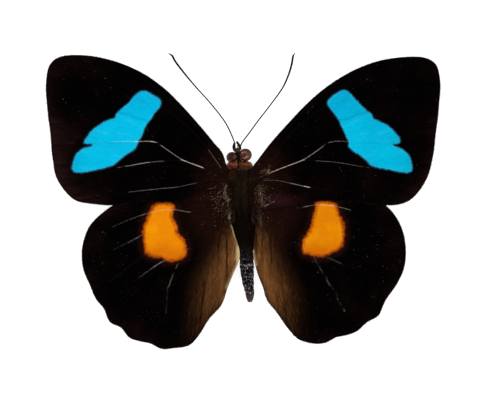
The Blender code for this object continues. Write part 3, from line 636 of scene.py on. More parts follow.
class Paint:
    """Builds one material's nodes around a Principled BSDF."""

    def __init__(self, name, roughness, specular=0.5):
        self.material = bpy.data.materials.new(name)
        self.material.use_nodes = True
        self.nodes = self.material.node_tree.nodes
        self.links = self.material.node_tree.links
        self.shader = self.nodes["Principled BSDF"]
        self.shader.inputs["Roughness"].default_value = roughness
        self.shader.inputs["Specular IOR Level"].default_value = specular
        place = self.nodes.new("ShaderNodeTexCoord").outputs["Object"]
        self.place = self.stretch(place, (1.0 / MM, 1.0 / MM, 1.0 / MM))

    def feed(self, socket, value):
        """Gives a socket a number, a colour, a node's result, or the mesh's value of that name."""
        if isinstance(value, str):
            value = self.value(value)
        if isinstance(value, bpy.types.NodeSocket):
            self.links.new(value, socket)
        elif isinstance(value, tuple) and socket.type == "RGBA":
            socket.default_value = (*value, 1.0)
        else:
            socket.default_value = value

    def value(self, key, part="Fac"):
        node = self.nodes.new("ShaderNodeAttribute")
        node.attribute_name = key
        return node.outputs[part]

    def stretch(self, vector, scale):
        node = self.nodes.new("ShaderNodeMapping")
        self.feed(node.inputs["Vector"], vector)
        node.inputs["Scale"].default_value = scale
        return node.outputs["Vector"]

    def noise(self, scale, detail=3.0, vector=None):
        """Noise with features about 1 / scale millimetres across."""
        node = self.nodes.new("ShaderNodeTexNoise")
        self.feed(node.inputs["Vector"], vector or self.place)
        node.inputs["Scale"].default_value = scale
        node.inputs["Detail"].default_value = detail
        return node.outputs["Fac"]

    def cells(self, scale, vector=None):
        node = self.nodes.new("ShaderNodeTexVoronoi")
        self.feed(node.inputs["Vector"], vector or self.place)
        node.inputs["Scale"].default_value = scale
        return node.outputs["Distance"]

    def maths(self, operation, a, b=0.0):
        node = self.nodes.new("ShaderNodeMath")
        node.operation = operation
        self.feed(node.inputs[0], a)
        self.feed(node.inputs[1], b)
        return node.outputs["Value"]

    def ramp(self, value, low, high, start=0.0, end=1.0):
        """Runs smoothly from start to end as value goes from low to high."""
        node = self.nodes.new("ShaderNodeMapRange")
        node.interpolation_type = "SMOOTHSTEP"
        self.feed(node.inputs["Value"], value)
        node.inputs["From Min"].default_value = low
        node.inputs["From Max"].default_value = high
        node.inputs["To Min"].default_value = start
        node.inputs["To Max"].default_value = end
        return node.outputs["Result"]

    def mix(self, share, a, b):
        node = self.nodes.new("ShaderNodeMix")
        node.data_type = "RGBA"
        self.feed(node.inputs[0], share)
        self.feed(node.inputs[6], a)
        self.feed(node.inputs[7], b)
        return node.outputs[2]

    def scaled(self, colour, factor):
        """A colour made lighter or darker by a factor."""
        node = self.nodes.new("ShaderNodeVectorMath")
        node.operation = "SCALE"
        self.feed(node.inputs[0], colour)
        self.feed(node.inputs["Scale"], factor)
        return node.outputs["Vector"]

    def colour(self, colour):
        self.feed(self.shader.inputs["Base Color"], colour)

    def bump(self, height, distance, strength=1.0):
        """Fine relief, its depth in millimetres."""
        node = self.nodes.new("ShaderNodeBump")
        self.feed(node.inputs["Height"], height)
        node.inputs["Distance"].default_value = distance * MM
        node.inputs["Strength"].default_value = strength
        self.links.new(node.outputs["Normal"], self.shader.inputs["Normal"])


def scale_rows(paint, along=0.35, across=3.0):
    """Small cells for the scales, and streaks that fan out from the wing's root."""
    flow = paint.value("flow", "Vector")
    cells = paint.cells(7.0, flow)
    return cells, paint.noise(0.9, 4.0, paint.stretch(flow, (along, across, 1.0)))


def wing_relief(paint, cells, streaks):
    """Relief of the overlapping scales and the streaks."""
    paint.bump(paint.maths("ADD", paint.maths("MULTIPLY", cells, 0.7), streaks), 0.035, 0.55)


def dark_ground(paint, broad):
    """Black, turning reddish in places."""
    return paint.mix(paint.ramp(paint.maths("ADD", "reddish", broad), 0.45, 1.55), BLACK, RED_BLACK)


def rubbed(paint, body, fine, low=0.30, high=0.62):
    """Where scales are rubbed off, the pale membrane shows."""
    worn = paint.maths("MULTIPLY", "rub", paint.ramp(fine, low, high))
    paint.colour(paint.mix(worn, body, RUBBED))


def ragged_edge(paint, grain, detail, depth):
    """An uneven shift, in millimetres, of a marking's edge."""
    return paint.maths("MULTIPLY", paint.maths("SUBTRACT", paint.noise(grain, detail), 0.5), depth)


def forewing_paint():
    paint = Paint("forewing_scales", 0.70, specular=0.005)
    cells, streaks = scale_rows(paint)
    broad = paint.noise(0.18, 2.0)
    fine = paint.noise(5.0, 3.0)
    ragged = ragged_edge(paint, 3.2, 3.0, 0.34)

    ground = dark_ground(paint, broad)
    ground = paint.mix(paint.ramp("root", 8.0, 1.0), ground, BASE_BROWN)
    # Purple sheen painted into the ground colour
    ground = paint.mix("painted_sheen", ground, SHEEN_PURPLE)
    ground = paint.scaled(ground, paint.ramp(streaks, 0.25, 0.75, 0.55, 1.6))

    blue = paint.mix(paint.ramp(broad, 0.35, 0.68, 0.0, 0.45), BLUE, BLUE_DEEP)
    blue = paint.mix(paint.ramp("ahead", 10.5, 14.5, 0.0, 0.80), blue, BLUE_DEEP)
    blue = paint.mix(paint.ramp(streaks, 0.50, 0.85, 0.0, 0.25), blue, BLUE_PALE)
    blue = paint.scaled(blue, paint.ramp(cells, 0.0, 0.9, 1.06, 0.88))
    # Painted shade in the creases across the blue band
    blue = paint.scaled(blue, paint.ramp("crease_shade", 0.0, 1.0, 1.0, 0.72))
    blue = paint.scaled(blue, paint.ramp("root", 20.0, 25.0, 1.0, 0.85))
    blue = paint.scaled(blue, "shade")
    edge = paint.maths("ADD", "band", ragged)
    body = paint.mix(paint.ramp(edge, -0.24, -0.02), ground, BAND_HALO)
    body = paint.mix(paint.ramp(edge, -0.08, 0.10), body, BAND_RIM)
    body = paint.mix(paint.ramp(edge, 0.02, 0.20), body, blue)
    rubbed(paint, body, fine)
    wing_relief(paint, cells, streaks)
    return paint.material


def hindwing_paint():
    paint = Paint("hindwing_scales", 0.70, specular=0.005)
    cells, streaks = scale_rows(paint, 0.30, 3.2)
    combed = paint.noise(1.0, 4.0, paint.stretch(paint.place, (1.5, 0.14, 1.0)))
    broad = paint.noise(0.30, 3.0)
    fine = paint.noise(5.0, 3.0)
    ragged = ragged_edge(paint, 1.5, 4.0, 0.80)

    ground = dark_ground(paint, broad)
    ground = paint.mix(paint.ramp("root", 10.5, 4.5), ground, BASE_BROWN)
    ground = paint.scaled(ground, paint.ramp(streaks, 0.25, 0.75, 0.55, 1.6))

    brown = paint.mix(paint.ramp(combed, 0.40, 0.72), BROWN, BROWN_GOLD)
    brown = paint.mix("golden", brown, BROWN_LIGHT)
    brown = paint.scaled(brown, paint.ramp(broad, 0.25, 0.75, 0.70, 1.25))
    reach = paint.maths("ADD", "brown", paint.maths("MULTIPLY", combed, 0.70))
    ground = paint.mix(paint.ramp("halo", 0.0, 0.9, 0.0, 0.9), ground, BROWN_HALO)
    ground = paint.mix(paint.ramp(reach, 0.50, 1.40), ground, brown)
    # Painted shade in the folds of the brown area, and broad painted shadows there
    ground = paint.scaled(ground, paint.ramp("fold_and_shade", 0.0, 1.0, 1.0, 0.12))
    # Pale sheen painted along the hindwing's inner edge
    ground = paint.mix("pale", ground, CREAM_SHEEN)

    orange = paint.mix(paint.ramp(broad, 0.38, 0.66), ORANGE, ORANGE_GOLD)
    orange = paint.mix(paint.ramp("ahead", -5.4, -8.0, 0.0, 0.58), orange, ORANGE_DEEP)
    orange = paint.mix(paint.ramp(streaks, 0.55, 0.85, 0.0, 0.30), orange, ORANGE_DEEP)
    orange = paint.scaled(orange, paint.ramp(cells, 0.0, 0.9, 1.06, 0.90))
    orange = paint.scaled(orange, "shade")
    edge = paint.maths("ADD", "patch", ragged)
    ground = paint.mix(paint.ramp(edge, -1.5, -0.2, 0.0, 0.60), ground, PATCH_HALO)
    body = paint.mix(paint.ramp(edge, -0.45, 0.05), ground, PATCH_RIM)
    body = paint.mix(paint.ramp(edge, -0.08, 0.38), body, orange)
    rubbed(paint, body, fine)
    wing_relief(paint, cells, streaks)
    return paint.material


def underside_paint():
    """Leaf green with a brown line and margin, as on the hidden side of such butterflies."""
    paint = Paint("wing_underside", 0.65, specular=0.10)
    cells, streaks = scale_rows(paint)
    green = paint.mix(paint.ramp(streaks, 0.3, 0.7), *UNDER_GREEN)
    green = paint.mix(paint.ramp("margin", 1.6, 0.5), green, UNDER_MARGIN)
    line = paint.maths("ABSOLUTE", paint.maths("SUBTRACT", "margin", 5.2))
    line = paint.maths("SUBTRACT", line, paint.maths("MULTIPLY", paint.noise(0.6, 2.0), 0.5))
    dark = paint.maths("MULTIPLY", paint.ramp(line, 0.12, -0.12, 0.0, 0.7), "outer_half")
    green = paint.mix(dark, green, UNDER_LINE)
    inner = paint.mix(paint.ramp(streaks, 0.3, 0.7), *UNDER_BASE)
    green = paint.mix(paint.ramp("root", 11.0, 7.0, 0.0, 0.85), green, inner)
    paint.colour(paint.scaled(green, paint.ramp(cells, 0.0, 0.9, 1.10, 0.85)))
    wing_relief(paint, cells, streaks)
    return paint.material


def vein_paint():
    paint = Paint("wing_veins", 0.65, specular=0.02)
    fine = paint.noise(4.0, 3.0)
    dark = paint.mix(paint.ramp(fine, 0.3, 0.7), *VEIN_DARK)
    dark = paint.mix("marked", dark, paint.value("tint", "Color"))
    rubbed(paint, dark, fine, 0.25, 0.50)
    paint.bump(fine, 0.02, 0.6)
    return paint.material


def tinted_paint(name, roughness, specular, grain=6.0):
    """Takes its colour from the mesh and breaks it up with fine noise."""
    paint = Paint(name, roughness, specular)
    noise = paint.noise(grain, 3.0)
    paint.colour(paint.scaled(paint.value("tint", "Color"), paint.ramp(noise, 0.25, 0.75, 0.70, 1.30)))
    paint.bump(noise, 0.02, 0.4)
    return paint.material


def eye_paint():
    """Reddish brown facets with pale blotches painted as highlights, and a dark rim with painted shade
    towards one side.
    """
    paint = Paint("eye_facets", 0.22, specular=0.09)
    facets = paint.cells(14.0)
    mottle_and_highlights = paint.noise(1.6, 3.0)
    base = paint.mix(paint.ramp(mottle_and_highlights, 0.38, 0.58), *EYE_BROWN)
    # Pale blotches painted as highlights
    base = paint.mix(paint.ramp(mottle_and_highlights, 0.58, 0.68), base, EYE_PAINTED_HIGHLIGHT)
    base = paint.mix("rim", base, EYE_RIM_AND_SHADE)
    paint.colour(paint.scaled(base, paint.ramp(facets, 0.1, 0.7, 1.15, 0.60)))
    paint.bump(paint.ramp(facets, 0.0, 0.6, 1.0, 0.0), 0.03, 0.8)
    return paint.material


def hide_paint(name, dark, light, scale=2.0):
    paint = Paint(name, 0.80, specular=0.012)
    noise = paint.noise(scale, 4.0)
    paint.colour(paint.mix(paint.ramp(noise, 0.3, 0.7), dark, light))
    paint.bump(noise, 0.05, 0.6)
    return paint.material


# Wings

def spread_height(out):
    reach = out - WING_ROOT
    return ROOT_HEIGHT + RISE * reach - BEND * reach * reach


def pleats(out, forward, root_forward, spacing):
    turn = np.degrees(np.arctan2(forward - root_forward, out - WING_ROOT + 1.0))
    reach = np.hypot(out - WING_ROOT, forward - root_forward)
    return PLEAT_DEPTH * smooth_step(reach / PLEAT_REACH) * np.cos(2.0 * np.pi * turn / spacing)


def fold_place(forward):
    line = np.array(FOLD_LINE)[::-1]
    return np.interp(forward, line[:, 1], line[:, 0])


def wing_height(kind, points):
    out, forward = points[:, 0], points[:, 1]
    if kind == "forewing":
        clear = smooth_step((forward - 1.0) / 5.0)
        return spread_height(out) + clear * pleats(out, forward, 3.5, FOREWING_PLEATS)
    clear = smooth_step((-1.0 - forward) / 5.0)
    height = spread_height(out) - HINDWING_DROP + clear * pleats(out, forward, 0.5, HINDWING_PLEATS)
    turned = np.exp(-((out - fold_place(forward)) / FOLD_WIDTH) ** 2)
    return height - FOLD_DROP * turned * smooth_step(-forward / 3.0)


def on_wing(kind, side, points, lift=0.0):
    """Points of a wing as places in space, lift above its middle surface."""
    return np.column_stack([side * points[:, 0], points[:, 1], wing_height(kind, points) + lift])


def cad_rim(node, side):
    """The outline of a wing's solid, read from its upper faces, anticlockwise in outwards and forwards."""
    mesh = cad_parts[node].data
    corners = {}
    following = {}
    for face in mesh.polygons:
        if face.normal.z < 0.5:
            continue
        ring = []
        for index in face.vertices:
            co = mesh.vertices[index].co
            key = (round(co.x / MM, 3), round(co.y / MM, 3))
            corners[key] = (side * co.x / MM, co.y / MM)
            ring.append(key)
        for a, b in zip(ring, ring[1:] + ring[:1]):
            following.setdefault(a, set()).add(b)
    rim = {a: b for a, ends in following.items() for b in ends if a not in following.get(b, ())}
    start = min(rim)
    loop = [start]
    while rim[loop[-1]] != start:
        loop.append(rim[loop[-1]])
    return np.array([corners[key] for key in loop])[::side]


def wing_points(rim):
    """The rim and a staggered grid inside it, joined in triangles."""
    low, high = rim.min(0), rim.max(0)
    grid = []
    for n, forward in enumerate(np.arange(low[1], high[1], WING_STEP * 0.866)):
        out = np.arange(low[0] + WING_STEP * 0.5 * (n % 2), high[0], WING_STEP)
        grid.append(np.column_stack([out, np.full(len(out), forward)]))
    grid = np.vstack(grid)
    grid = grid[depth_inside(grid, rim) > 0.55 * WING_STEP]
    loop = [(i, (i + 1) % len(rim)) for i in range(len(rim))]
    everything = [Vector(p) for p in np.vstack([rim, grid])]
    points, _, faces, _, _, _ = delaunay_2d_cdt(everything, loop, [], 1, 1e-6)
    return np.array([(p.x, p.y) for p in points]), faces


def vein_routes(kind, name, rim):
    """Each vein's route, turned with the wing, and its two radii. The front vein comes last."""
    turn = radians(HINDWING_TURN) if (kind, name) == ("hindwing", "right") else 0.0
    pivot = np.array(TURN_CENTRE)
    spin = np.array([[np.cos(turn), np.sin(turn)], [-np.sin(turn), np.cos(turn)]])
    routes = []
    for route, thick, thin in FOREWING_VEINS if kind == "forewing" else HINDWING_VEINS:
        line = smooth_line((np.array(route) - pivot) @ spin + pivot, 0.30)
        routes.append((line[depth_inside(line, rim) > 0.12], thick, thin))
    root = np.linalg.norm(rim - FRONT_ROOT[kind], axis=1).argmin()
    tip = rim[:, 0].argmax()
    front = np.roll(rim, -tip, axis=0)[:(root - tip) % len(rim)][::-1]
    along = units(np.gradient(front, axis=0))
    inward = np.column_stack([along[:, 1], -along[:, 0]])
    routes.append((front + inward * 0.09, 0.12, 0.06))
    return routes


def brown_share(name, points, beyond=1.5, fade=5.2):
    """How brown the hindwing is along its inner margin, fading outwards and towards its rear."""
    out, forward = points[:, 0], points[:, 1]
    limit = np.array(BROWN_REACH[name])[::-1]
    edge = np.interp(forward, limit[:, 1], limit[:, 0])
    share = smooth_step((edge + beyond - out) / fade) * smooth_step((-forward - 1.2) / 4.2)
    return share * (1.0 - 0.55 * smooth_step((-forward - 10.5) / 8.0))


def marking(kind, name):
    return BAND[name] if kind == "forewing" else PATCH[name]


def wing_values(kind, name, points, margin, fold_and_shade):
    """The values that the paint of a wing reads at each of its points."""
    out, forward = points[:, 0], points[:, 1]
    count = len(points)
    centre = np.array(FLOW_CENTRE[kind])
    reach = np.linalg.norm(points - centre, axis=1)
    turn = np.arctan2(forward - centre[1], out - centre[0])
    values = {
        "flow": np.column_stack([reach, turn * FLOW_SPREAD, np.zeros(count)]),
        "margin": margin,
        "outer_half": smooth_step((out - out.max() * 0.60) / (out.max() * 0.12)),
        "root": reach,
        "ahead": forward,
        "rub": RUB_ON_MEMBRANE * strokes(points, RUBS[(kind, name)]),
        "shade": np.full(count, SHADE[name]),
    }
    mark = depth_inside(points, smooth_line(marking(kind, name), 0.3, closed=True))
    near_edge = np.exp(-margin / 2.2)
    if kind == "forewing":
        outer = smooth_step((out - 17.0) / 10.0) * (1.0 - 0.68 * smooth_step((forward - 11.0) / 6.0))
        inner = smooth_step((3.5 - forward) / 4.0) * smooth_step((11.0 - out) / 6.0)
        values["reddish"] = near_edge * np.maximum(OUTER_REDNESS[name] * outer, inner)
        values["band"] = mark
        # Where the painted purple sheen lies, and how strong it is on each wing
        beside, ahead = ((points - SHEEN_PLACE) / SHEEN_SIZE).T
        values["painted_sheen"] = np.exp(-beside ** 2 - ahead ** 2) * SHEEN_STRENGTH[name]
        values["crease_shade"] = strokes(points, CREASE_SHADE_LINES)
    else:
        values["patch"] = mark
        values["reddish"] = 0.3 * near_edge
        values["brown"] = brown_share(name, points)
        values["halo"] = brown_share(name, points, 3.0, 4.0)
        values["golden"] = strokes(points, GOLDEN[name])
        values["fold_and_shade"] = fold_and_shade
        values["pale"] = strokes(points, PALE_SHEEN_EDGES[name])
    return values


def wing(kind, name, side, materials):
    """Both faces of a wing, the walls round its rim and its raised veins, as one piece."""
    node = f"{kind}_{name}"
    rim = smooth_line(cad_rim(node, side), RIM_STEP, closed=True)
    points, faces = wing_points(rim)
    margin = line_distance(points, rim, closed=True)
    half = MEMBRANE / 2 * (0.35 + 0.65 * smooth_step(margin / 0.8))
    count = len(points)
    # How deep each point lies in a fold, which lowers the surface a little and carries painted shade
    fold_and_shade = strokes(points, FOLDS_AND_SHADOWS[name]) if kind == "hindwing" else np.zeros(count)
    lowered = -0.07 * fold_and_shade
    routes = vein_routes(kind, name, rim)

    verts = [on_wing(kind, side, points, half + lowered), on_wing(kind, side, points, -half + lowered)]
    flip = side < 0
    uppers = [tuple(face[::-1]) if flip else tuple(face) for face in faces]
    lowers = [tuple(count + i for i in (face if flip else face[::-1])) for face in faces]
    used = {(a, b) for face in faces for a, b in zip(face, face[1:] + face[:1])}
    walls = []
    for a, b in used:
        if (b, a) not in used:
            wall = (b, a, count + a, count + b)
            walls.append(wall[::-1] if flip else wall)
    all_faces = uppers + lowers + walls
    slots = [0] * len(uppers) + [1] * len(lowers) + [0] * len(walls)

    values = wing_values(kind, name, points, margin, fold_and_shade)
    values = {key: np.concatenate([data, data]) for key, data in values.items()}
    first = 2 * count
    worn, marked = [], [np.zeros(first)]
    for line, thick, thin in routes:
        share = np.linspace(0.0, 1.0, len(line))
        radii = 0.85 * (thick + (thin - thick) * share) * (1.0 - 0.7 * smooth_step((share - 0.93) / 0.07))
        tube_verts, tube_faces = tube(on_wing(kind, side, line), radii, 8, first)
        verts.append(tube_verts)
        all_faces += tube_faces
        slots += [2] * len(tube_faces)
        flat = tube_verts[:, :2] * (side, 1)
        above = tube_verts[:, 2] > wing_height(kind, flat)
        worn.append(strokes(flat, RUBS[(kind, name)]) * above)
        marked.append(smooth_step(depth_inside(flat, marking(kind, name)) / 0.15 + 0.5) * above * 0.92)
        first += len(tube_verts)
    extra = first - 2 * count
    for key, data in values.items():
        fill = np.concatenate(worn) if key == "rub" else np.zeros((extra,) + data.shape[1:])
        values[key] = np.concatenate([data, fill])
    values["marked"] = np.concatenate(marked)
    tints = np.tile(BLUE if kind == "forewing" else ORANGE, (first, 1))
    item = add_mesh(f"{node}_scaled", np.vstack(verts), all_faces, materials, values, tints, slots)
    dress(item, f"{kind}_scales", node)
    return rim


# Hair and loose scales on the wings

def lying_hair(kind, side, roots, ways, lengths, widths, tints, lift=0.05, knees=()):
    """Hair that follows a wing's surface."""
    lengths, widths = drawn(lengths, len(roots)), drawn(widths, len(roots))
    start = on_wing(kind, side, roots, MEMBRANE / 2)
    end = on_wing(kind, side, roots + units(ways) * lengths[:, None], MEMBRANE / 2 + lift)
    return hair_mesh(start, end - start, lengths, widths, tints, flat=0.5, knees=knees)


def fringe(kind, side, rim):
    """Short hair all along a wing's outer edge."""
    number = NUMBER["fringe"]
    along = rng.random(number) * len(rim)
    step = along.astype(int)
    share = (along - step)[:, None]
    ends = np.roll(rim, -1, axis=0)
    points = rim[step] * (1.0 - share) + ends[step] * share
    way = units(ends - rim)[step]
    outward = np.column_stack([way[:, 1], -way[:, 0]])
    keep = points[:, 0] > 3.2
    points, outward, way = points[keep], outward[keep], way[keep]
    count = len(points)
    ways = outward + way * rng.normal(0.0, 0.30, (count, 1))
    tints = varied(HAIR["fringe"], count)
    return lying_hair(kind, side, points - outward * 0.10, ways, (0.16, 0.30), (0.018, 0.030), tints, -0.03)


def tuft(side, coat, route, scatter, way, spread, lengths, widths):
    """Pale hair along a route on a forewing."""
    line = smooth_line(route, 0.05)
    number = NUMBER[coat]
    roots = line[rng.integers(0, len(line), number)] + rng.normal(0.0, scatter, (number, 2))
    ways = np.array(way) + rng.normal(0.0, spread, (number, 2))
    tints = varied(HAIR[coat], number)
    if coat == "tuft":
        tints = np.minimum(tints, 0.40)
    return lying_hair("forewing", side, roots, ways, lengths, widths, tints, 0.10)


def base_hair(kind, name, side, rim):
    """Fine hair that fans out over a wing's root, dark with pale flecks."""
    number = NUMBER[kind]
    middle = np.array([1.6, 2.6]) if kind == "forewing" else np.array([1.7, -1.0])
    turn = rng.uniform(-1.45, 1.45, number)
    reach = 0.1 + 5.4 * rng.random(number) ** 1.4
    roots = middle + np.column_stack([np.cos(turn) * reach, np.sin(turn) * reach * 1.15])
    if kind == "hindwing":
        roots = roots[roots[:, 1] < -0.4]
    roots = roots[depth_inside(roots, rim) > 0.1]
    count = len(roots)
    ways = units(roots - middle) + np.array([0.1, -0.25]) + rng.normal(0.0, 0.45, (count, 2))
    tints = varied(HAIR["wing_base"], count)
    spot = np.array([3.3, 0.2]) if name == "left" else np.array([2.7, 0.6])
    near = np.exp(-(np.linalg.norm((roots - spot) / (1.5, 2.0), axis=1)) ** 2)
    flecks = rng.random(count) < 0.008 + (0.45 if name == "left" else 0.30) * near
    pale = varied(HAIR["fleck"], flecks.sum())
    tints[flecks] = np.minimum(pale, (0.36, 0.27, 0.20))
    lengths = np.where(flecks, rng.uniform(0.20, 0.45, count), rng.uniform(0.35, 0.95, count))
    parts = [lying_hair(kind, side, roots, ways, lengths, (0.012, 0.022), tints, 0.06)]
    if kind == "forewing":
        route = TUFTS[name]
        parts.append(tuft(side, "tuft", route, 0.15, (0.05, -1.0), 0.45, (0.25, 0.55), (0.012, 0.024)))
    if (kind, name) == ("forewing", "right"):
        parts.append(tuft(side, "streak", STREAK, 0.12, (0.8, 0.9), 0.35, (0.35, 0.75), (0.010, 0.018)))
    return parts


def brown_hair(name, side, rim):
    """Long hair combed along the hindwing's inner margin."""
    number = NUMBER["brown"]
    forward = rng.uniform(-19.5, -1.8, number)
    limit = np.array(BROWN_REACH[name])[::-1]
    edge = np.interp(forward, limit[:, 1], limit[:, 0])
    inner = fold_place(forward)
    out = inner + (edge + 1.5 - inner) * rng.random(number)
    roots = np.column_stack([out, forward])
    ways = np.column_stack([0.03 * out + 0.03, -np.ones(number)]) + rng.normal(0.0, 0.05, (number, 2))
    lengths = rng.uniform(0.8, 1.9, number)
    tips = roots + units(ways) * lengths[:, None]
    inside = (depth_inside(roots, rim) > 0.12) & (depth_inside(tips, rim) > 0.02)
    keep = inside & (strokes(roots, FOLDS_AND_SHADOWS[name]) < 0.35) & (strokes(roots, PALE_SHEEN_EDGES[name]) < 0.30)
    keep &= rng.random(number) < 0.15 + 2.6 * brown_share(name, roots)
    roots, ways, lengths = roots[keep], ways[keep], lengths[keep]
    count = len(roots)
    tints = varied(HAIR["brown"], count)
    tints = tints * (0.06 + 1.00 * brown_share(name, roots)[:, None])
    return lying_hair("hindwing", side, roots, ways, lengths, (0.010, 0.018), tints, 0.02, (0.5,))


def patch_scales(name, side, rim):
    """Loose orange scales that feather the edge of the patch."""
    outline = smooth_line(PATCH[name], 0.05, closed=True)
    number = NUMBER["orange"]
    roots = outline[rng.integers(0, len(outline), number)] + rng.normal(0.0, 0.14, (number, 2))
    ways = units(units(roots - FLOW_CENTRE["hindwing"]) + rng.normal(0.0, 0.30, (number, 2)))
    lengths = rng.uniform(0.25, 0.60, number)
    depth = depth_inside(roots + ways * lengths[:, None], outline)
    keep = (roots[:, 1] < -0.5) & (depth_inside(roots, rim) > 0.3) & (depth > -0.16) & (depth < 0.35)
    roots, ways, lengths, depth = roots[keep], ways[keep], lengths[keep], depth[keep]
    count = len(roots)
    tints = varied(HAIR["orange"], count)
    tints *= (0.60 + 0.40 * smooth_step(depth / 0.30 + 0.5))[:, None]
    return lying_hair("hindwing", side, roots, ways, lengths, (0.012, 0.022), tints, 0.03)


def stray_scales(kind, name, side, rim):
    """A few pale loose scales on the dark parts of a wing."""
    low, high = rim.min(0), rim.max(0)
    roots = low + (high - low) * rng.random((NUMBER["stray"], 2))
    dark = depth_inside(roots, marking(kind, name)) < -0.3
    roots = roots[dark & (depth_inside(roots, rim) > 0.4)]
    count = len(roots)
    tints = np.minimum(varied(HAIR["stray"], count), 0.32)
    return lying_hair(kind, side, roots, rng.normal(0.0, 1.0, (count, 2)), (0.05, 0.15),
                      (0.014, 0.026), tints, 0.02)


def wing_hair(kind, name, side, rim, material):
    parts = [fringe(kind, side, rim), stray_scales(kind, name, side, rim)]
    parts += base_hair(kind, name, side, rim)
    if kind == "hindwing":
        parts += [brown_hair(name, side, rim), patch_scales(name, side, rim)]
    add_hair(f"{kind}_{name}_hair", f"{kind}_scales", material, *parts)


# Body

def cross_section(forward, centre, half_width, low, high, count):
    turns = np.arange(count) * 2.0 * np.pi / count
    return np.column_stack([
        centre + half_width * np.cos(turns),
        np.full(count, forward),
        (low + high) / 2 + (high - low) / 2 * np.sin(turns),
    ])


def skin(rings, poles):
    """Points and faces of a closed skin over rings, ending in a pole at each end."""
    count = len(rings[0])
    verts = np.vstack(list(rings) + [np.array(poles)])
    faces = []
    for i in range(len(rings) - 1):
        for n in range(count):
            m = (n + 1) % count
            faces.append((i * count + m, i * count + n, (i + 1) * count + n, (i + 1) * count + m))
    start = len(rings) * count
    last = (len(rings) - 1) * count
    for n in range(count):
        m = (n + 1) % count
        faces.append((n, m, start))
        faces.append((last + m, last + n, start + 1))
    return verts, faces


def scatter(verts, faces, count, keep=None):
    """Random points on a mesh, even by area, with the faces' normals.

    keep gives each triangle its share from the triangles' centres and normals.
    """
    triangles = []
    for face in faces:
        triangles.append(face[:3])
        if len(face) == 4:
            triangles.append((face[0], face[2], face[3]))
    corners = np.asarray(verts)[np.array(triangles)]
    normals = np.cross(corners[:, 1] - corners[:, 0], corners[:, 2] - corners[:, 0])
    areas = np.linalg.norm(normals, axis=1)
    normals = units(normals)
    if keep is not None:
        areas = areas * keep(corners.mean(1), normals)
    chosen = rng.choice(len(areas), count, p=areas / areas.sum())
    a, b = rng.random((2, count))
    over = a + b > 1.0
    a[over], b[over] = 1.0 - a[over], 1.0 - b[over]
    picked = corners[chosen]
    start, one, two = picked[:, 0], picked[:, 1], picked[:, 2]
    return start + (one - start) * a[:, None] + (two - start) * b[:, None], normals[chosen]


def swept_back(side, number, outward, upward):
    """Ways of hair that runs backwards and out to one side."""
    aside = side * rng.uniform(0.3, outward, number)
    return np.column_stack([aside, np.full(number, -1.0), rng.uniform(-0.1, upward, number)])


def thorax(skin_material, hair_material):
    rings = [cross_section(*section, 48) for section in smooth_line(THORAX_SECTIONS, 0.16)]
    verts, faces = skin(rings, THORAX_ENDS)
    verts[:, 2] = np.maximum(verts[:, 2], 0.0)
    dress(add_mesh("thorax_hide", verts, faces, [skin_material]), "body_hair", "thorax")

    roots, normals = scatter(
        verts, faces, NUMBER["thorax"],
        lambda centres, _: (centres[:, 2] > 0.25) * (1.0 + (centres[:, 2] > 2.0)),
    )
    count = len(roots)
    ways = normals * 0.42 + np.column_stack([
        0.06 * (roots[:, 0] - 0.05), np.where(roots[:, 1] > 4.45, 0.6, -1.0), np.full(count, -0.12)
    ]) + rng.normal(0.0, 0.13, (count, 3))
    lengths = np.where(roots[:, 2] > 3.9, rng.uniform(0.30, 0.70, count), rng.uniform(0.40, 0.95, count))
    streak = np.sin(roots[:, 0] * 5.2 + 0.5 * np.sin(roots[:, 1] * 1.1))
    streak = streak + 0.5 * np.sin(roots[:, 0] * 11.0 + 1.0)
    tints = varied(HAIR["thorax"], count)
    tints *= (1.0 + 0.35 * streak)[:, None]
    tints *= np.interp(roots[:, 1], (-1.0, 2.0), (0.30, 1.0))[:, None]
    middle = np.exp(-((roots[:, 0] - 0.05) / 0.75) ** 2) * smooth_step((roots[:, 1] - 0.3) / 1.8)
    tints *= (1.0 + 1.35 * middle)[:, None]
    spot = 0.85 * np.exp(-(np.linalg.norm(roots[:, :2] - (-0.1, 4.5), axis=1) / 0.50) ** 2)[:, None]
    tints = tints * (1.0 - spot) + np.array(THORAX_SPOT) * spot
    shoulder = (roots[:, 1] > 3.7) & (roots[:, 0] < -0.9)
    tints[shoulder] = varied(HAIR["shoulder"], shoulder.sum())
    bend = normals * -0.10 * lengths[:, None]
    coat = hair_mesh(roots, ways, lengths, (0.016, 0.030), tints, bend)

    tufts = []
    for side in (-1, 1):
        number = NUMBER["thorax_side"]
        forward = rng.uniform(-3.0, 5.3, number)
        inner = np.interp(forward, (-3.0, 4.0, 5.3), (1.15, 1.35, 1.55 if side < 0 else 1.0))
        roots = np.column_stack([
            side * (inner + rng.uniform(0.0, 0.35, number)) + 0.1, forward, rng.uniform(2.2, 3.3, number)
        ])
        ways = swept_back(side, number, 1.4, 0.2)
        tints = varied(HAIR["thorax_side"], number)
        if side < 0:
            front = forward > 3.9
            tints[front] = varied(HAIR["thorax_front"], front.sum())
        tufts.append(hair_mesh(roots, ways, (0.6, 1.2), (0.030, 0.050), tints, knees=()))
    add_hair("thorax_hair", "body_hair", hair_material, coat, *tufts)


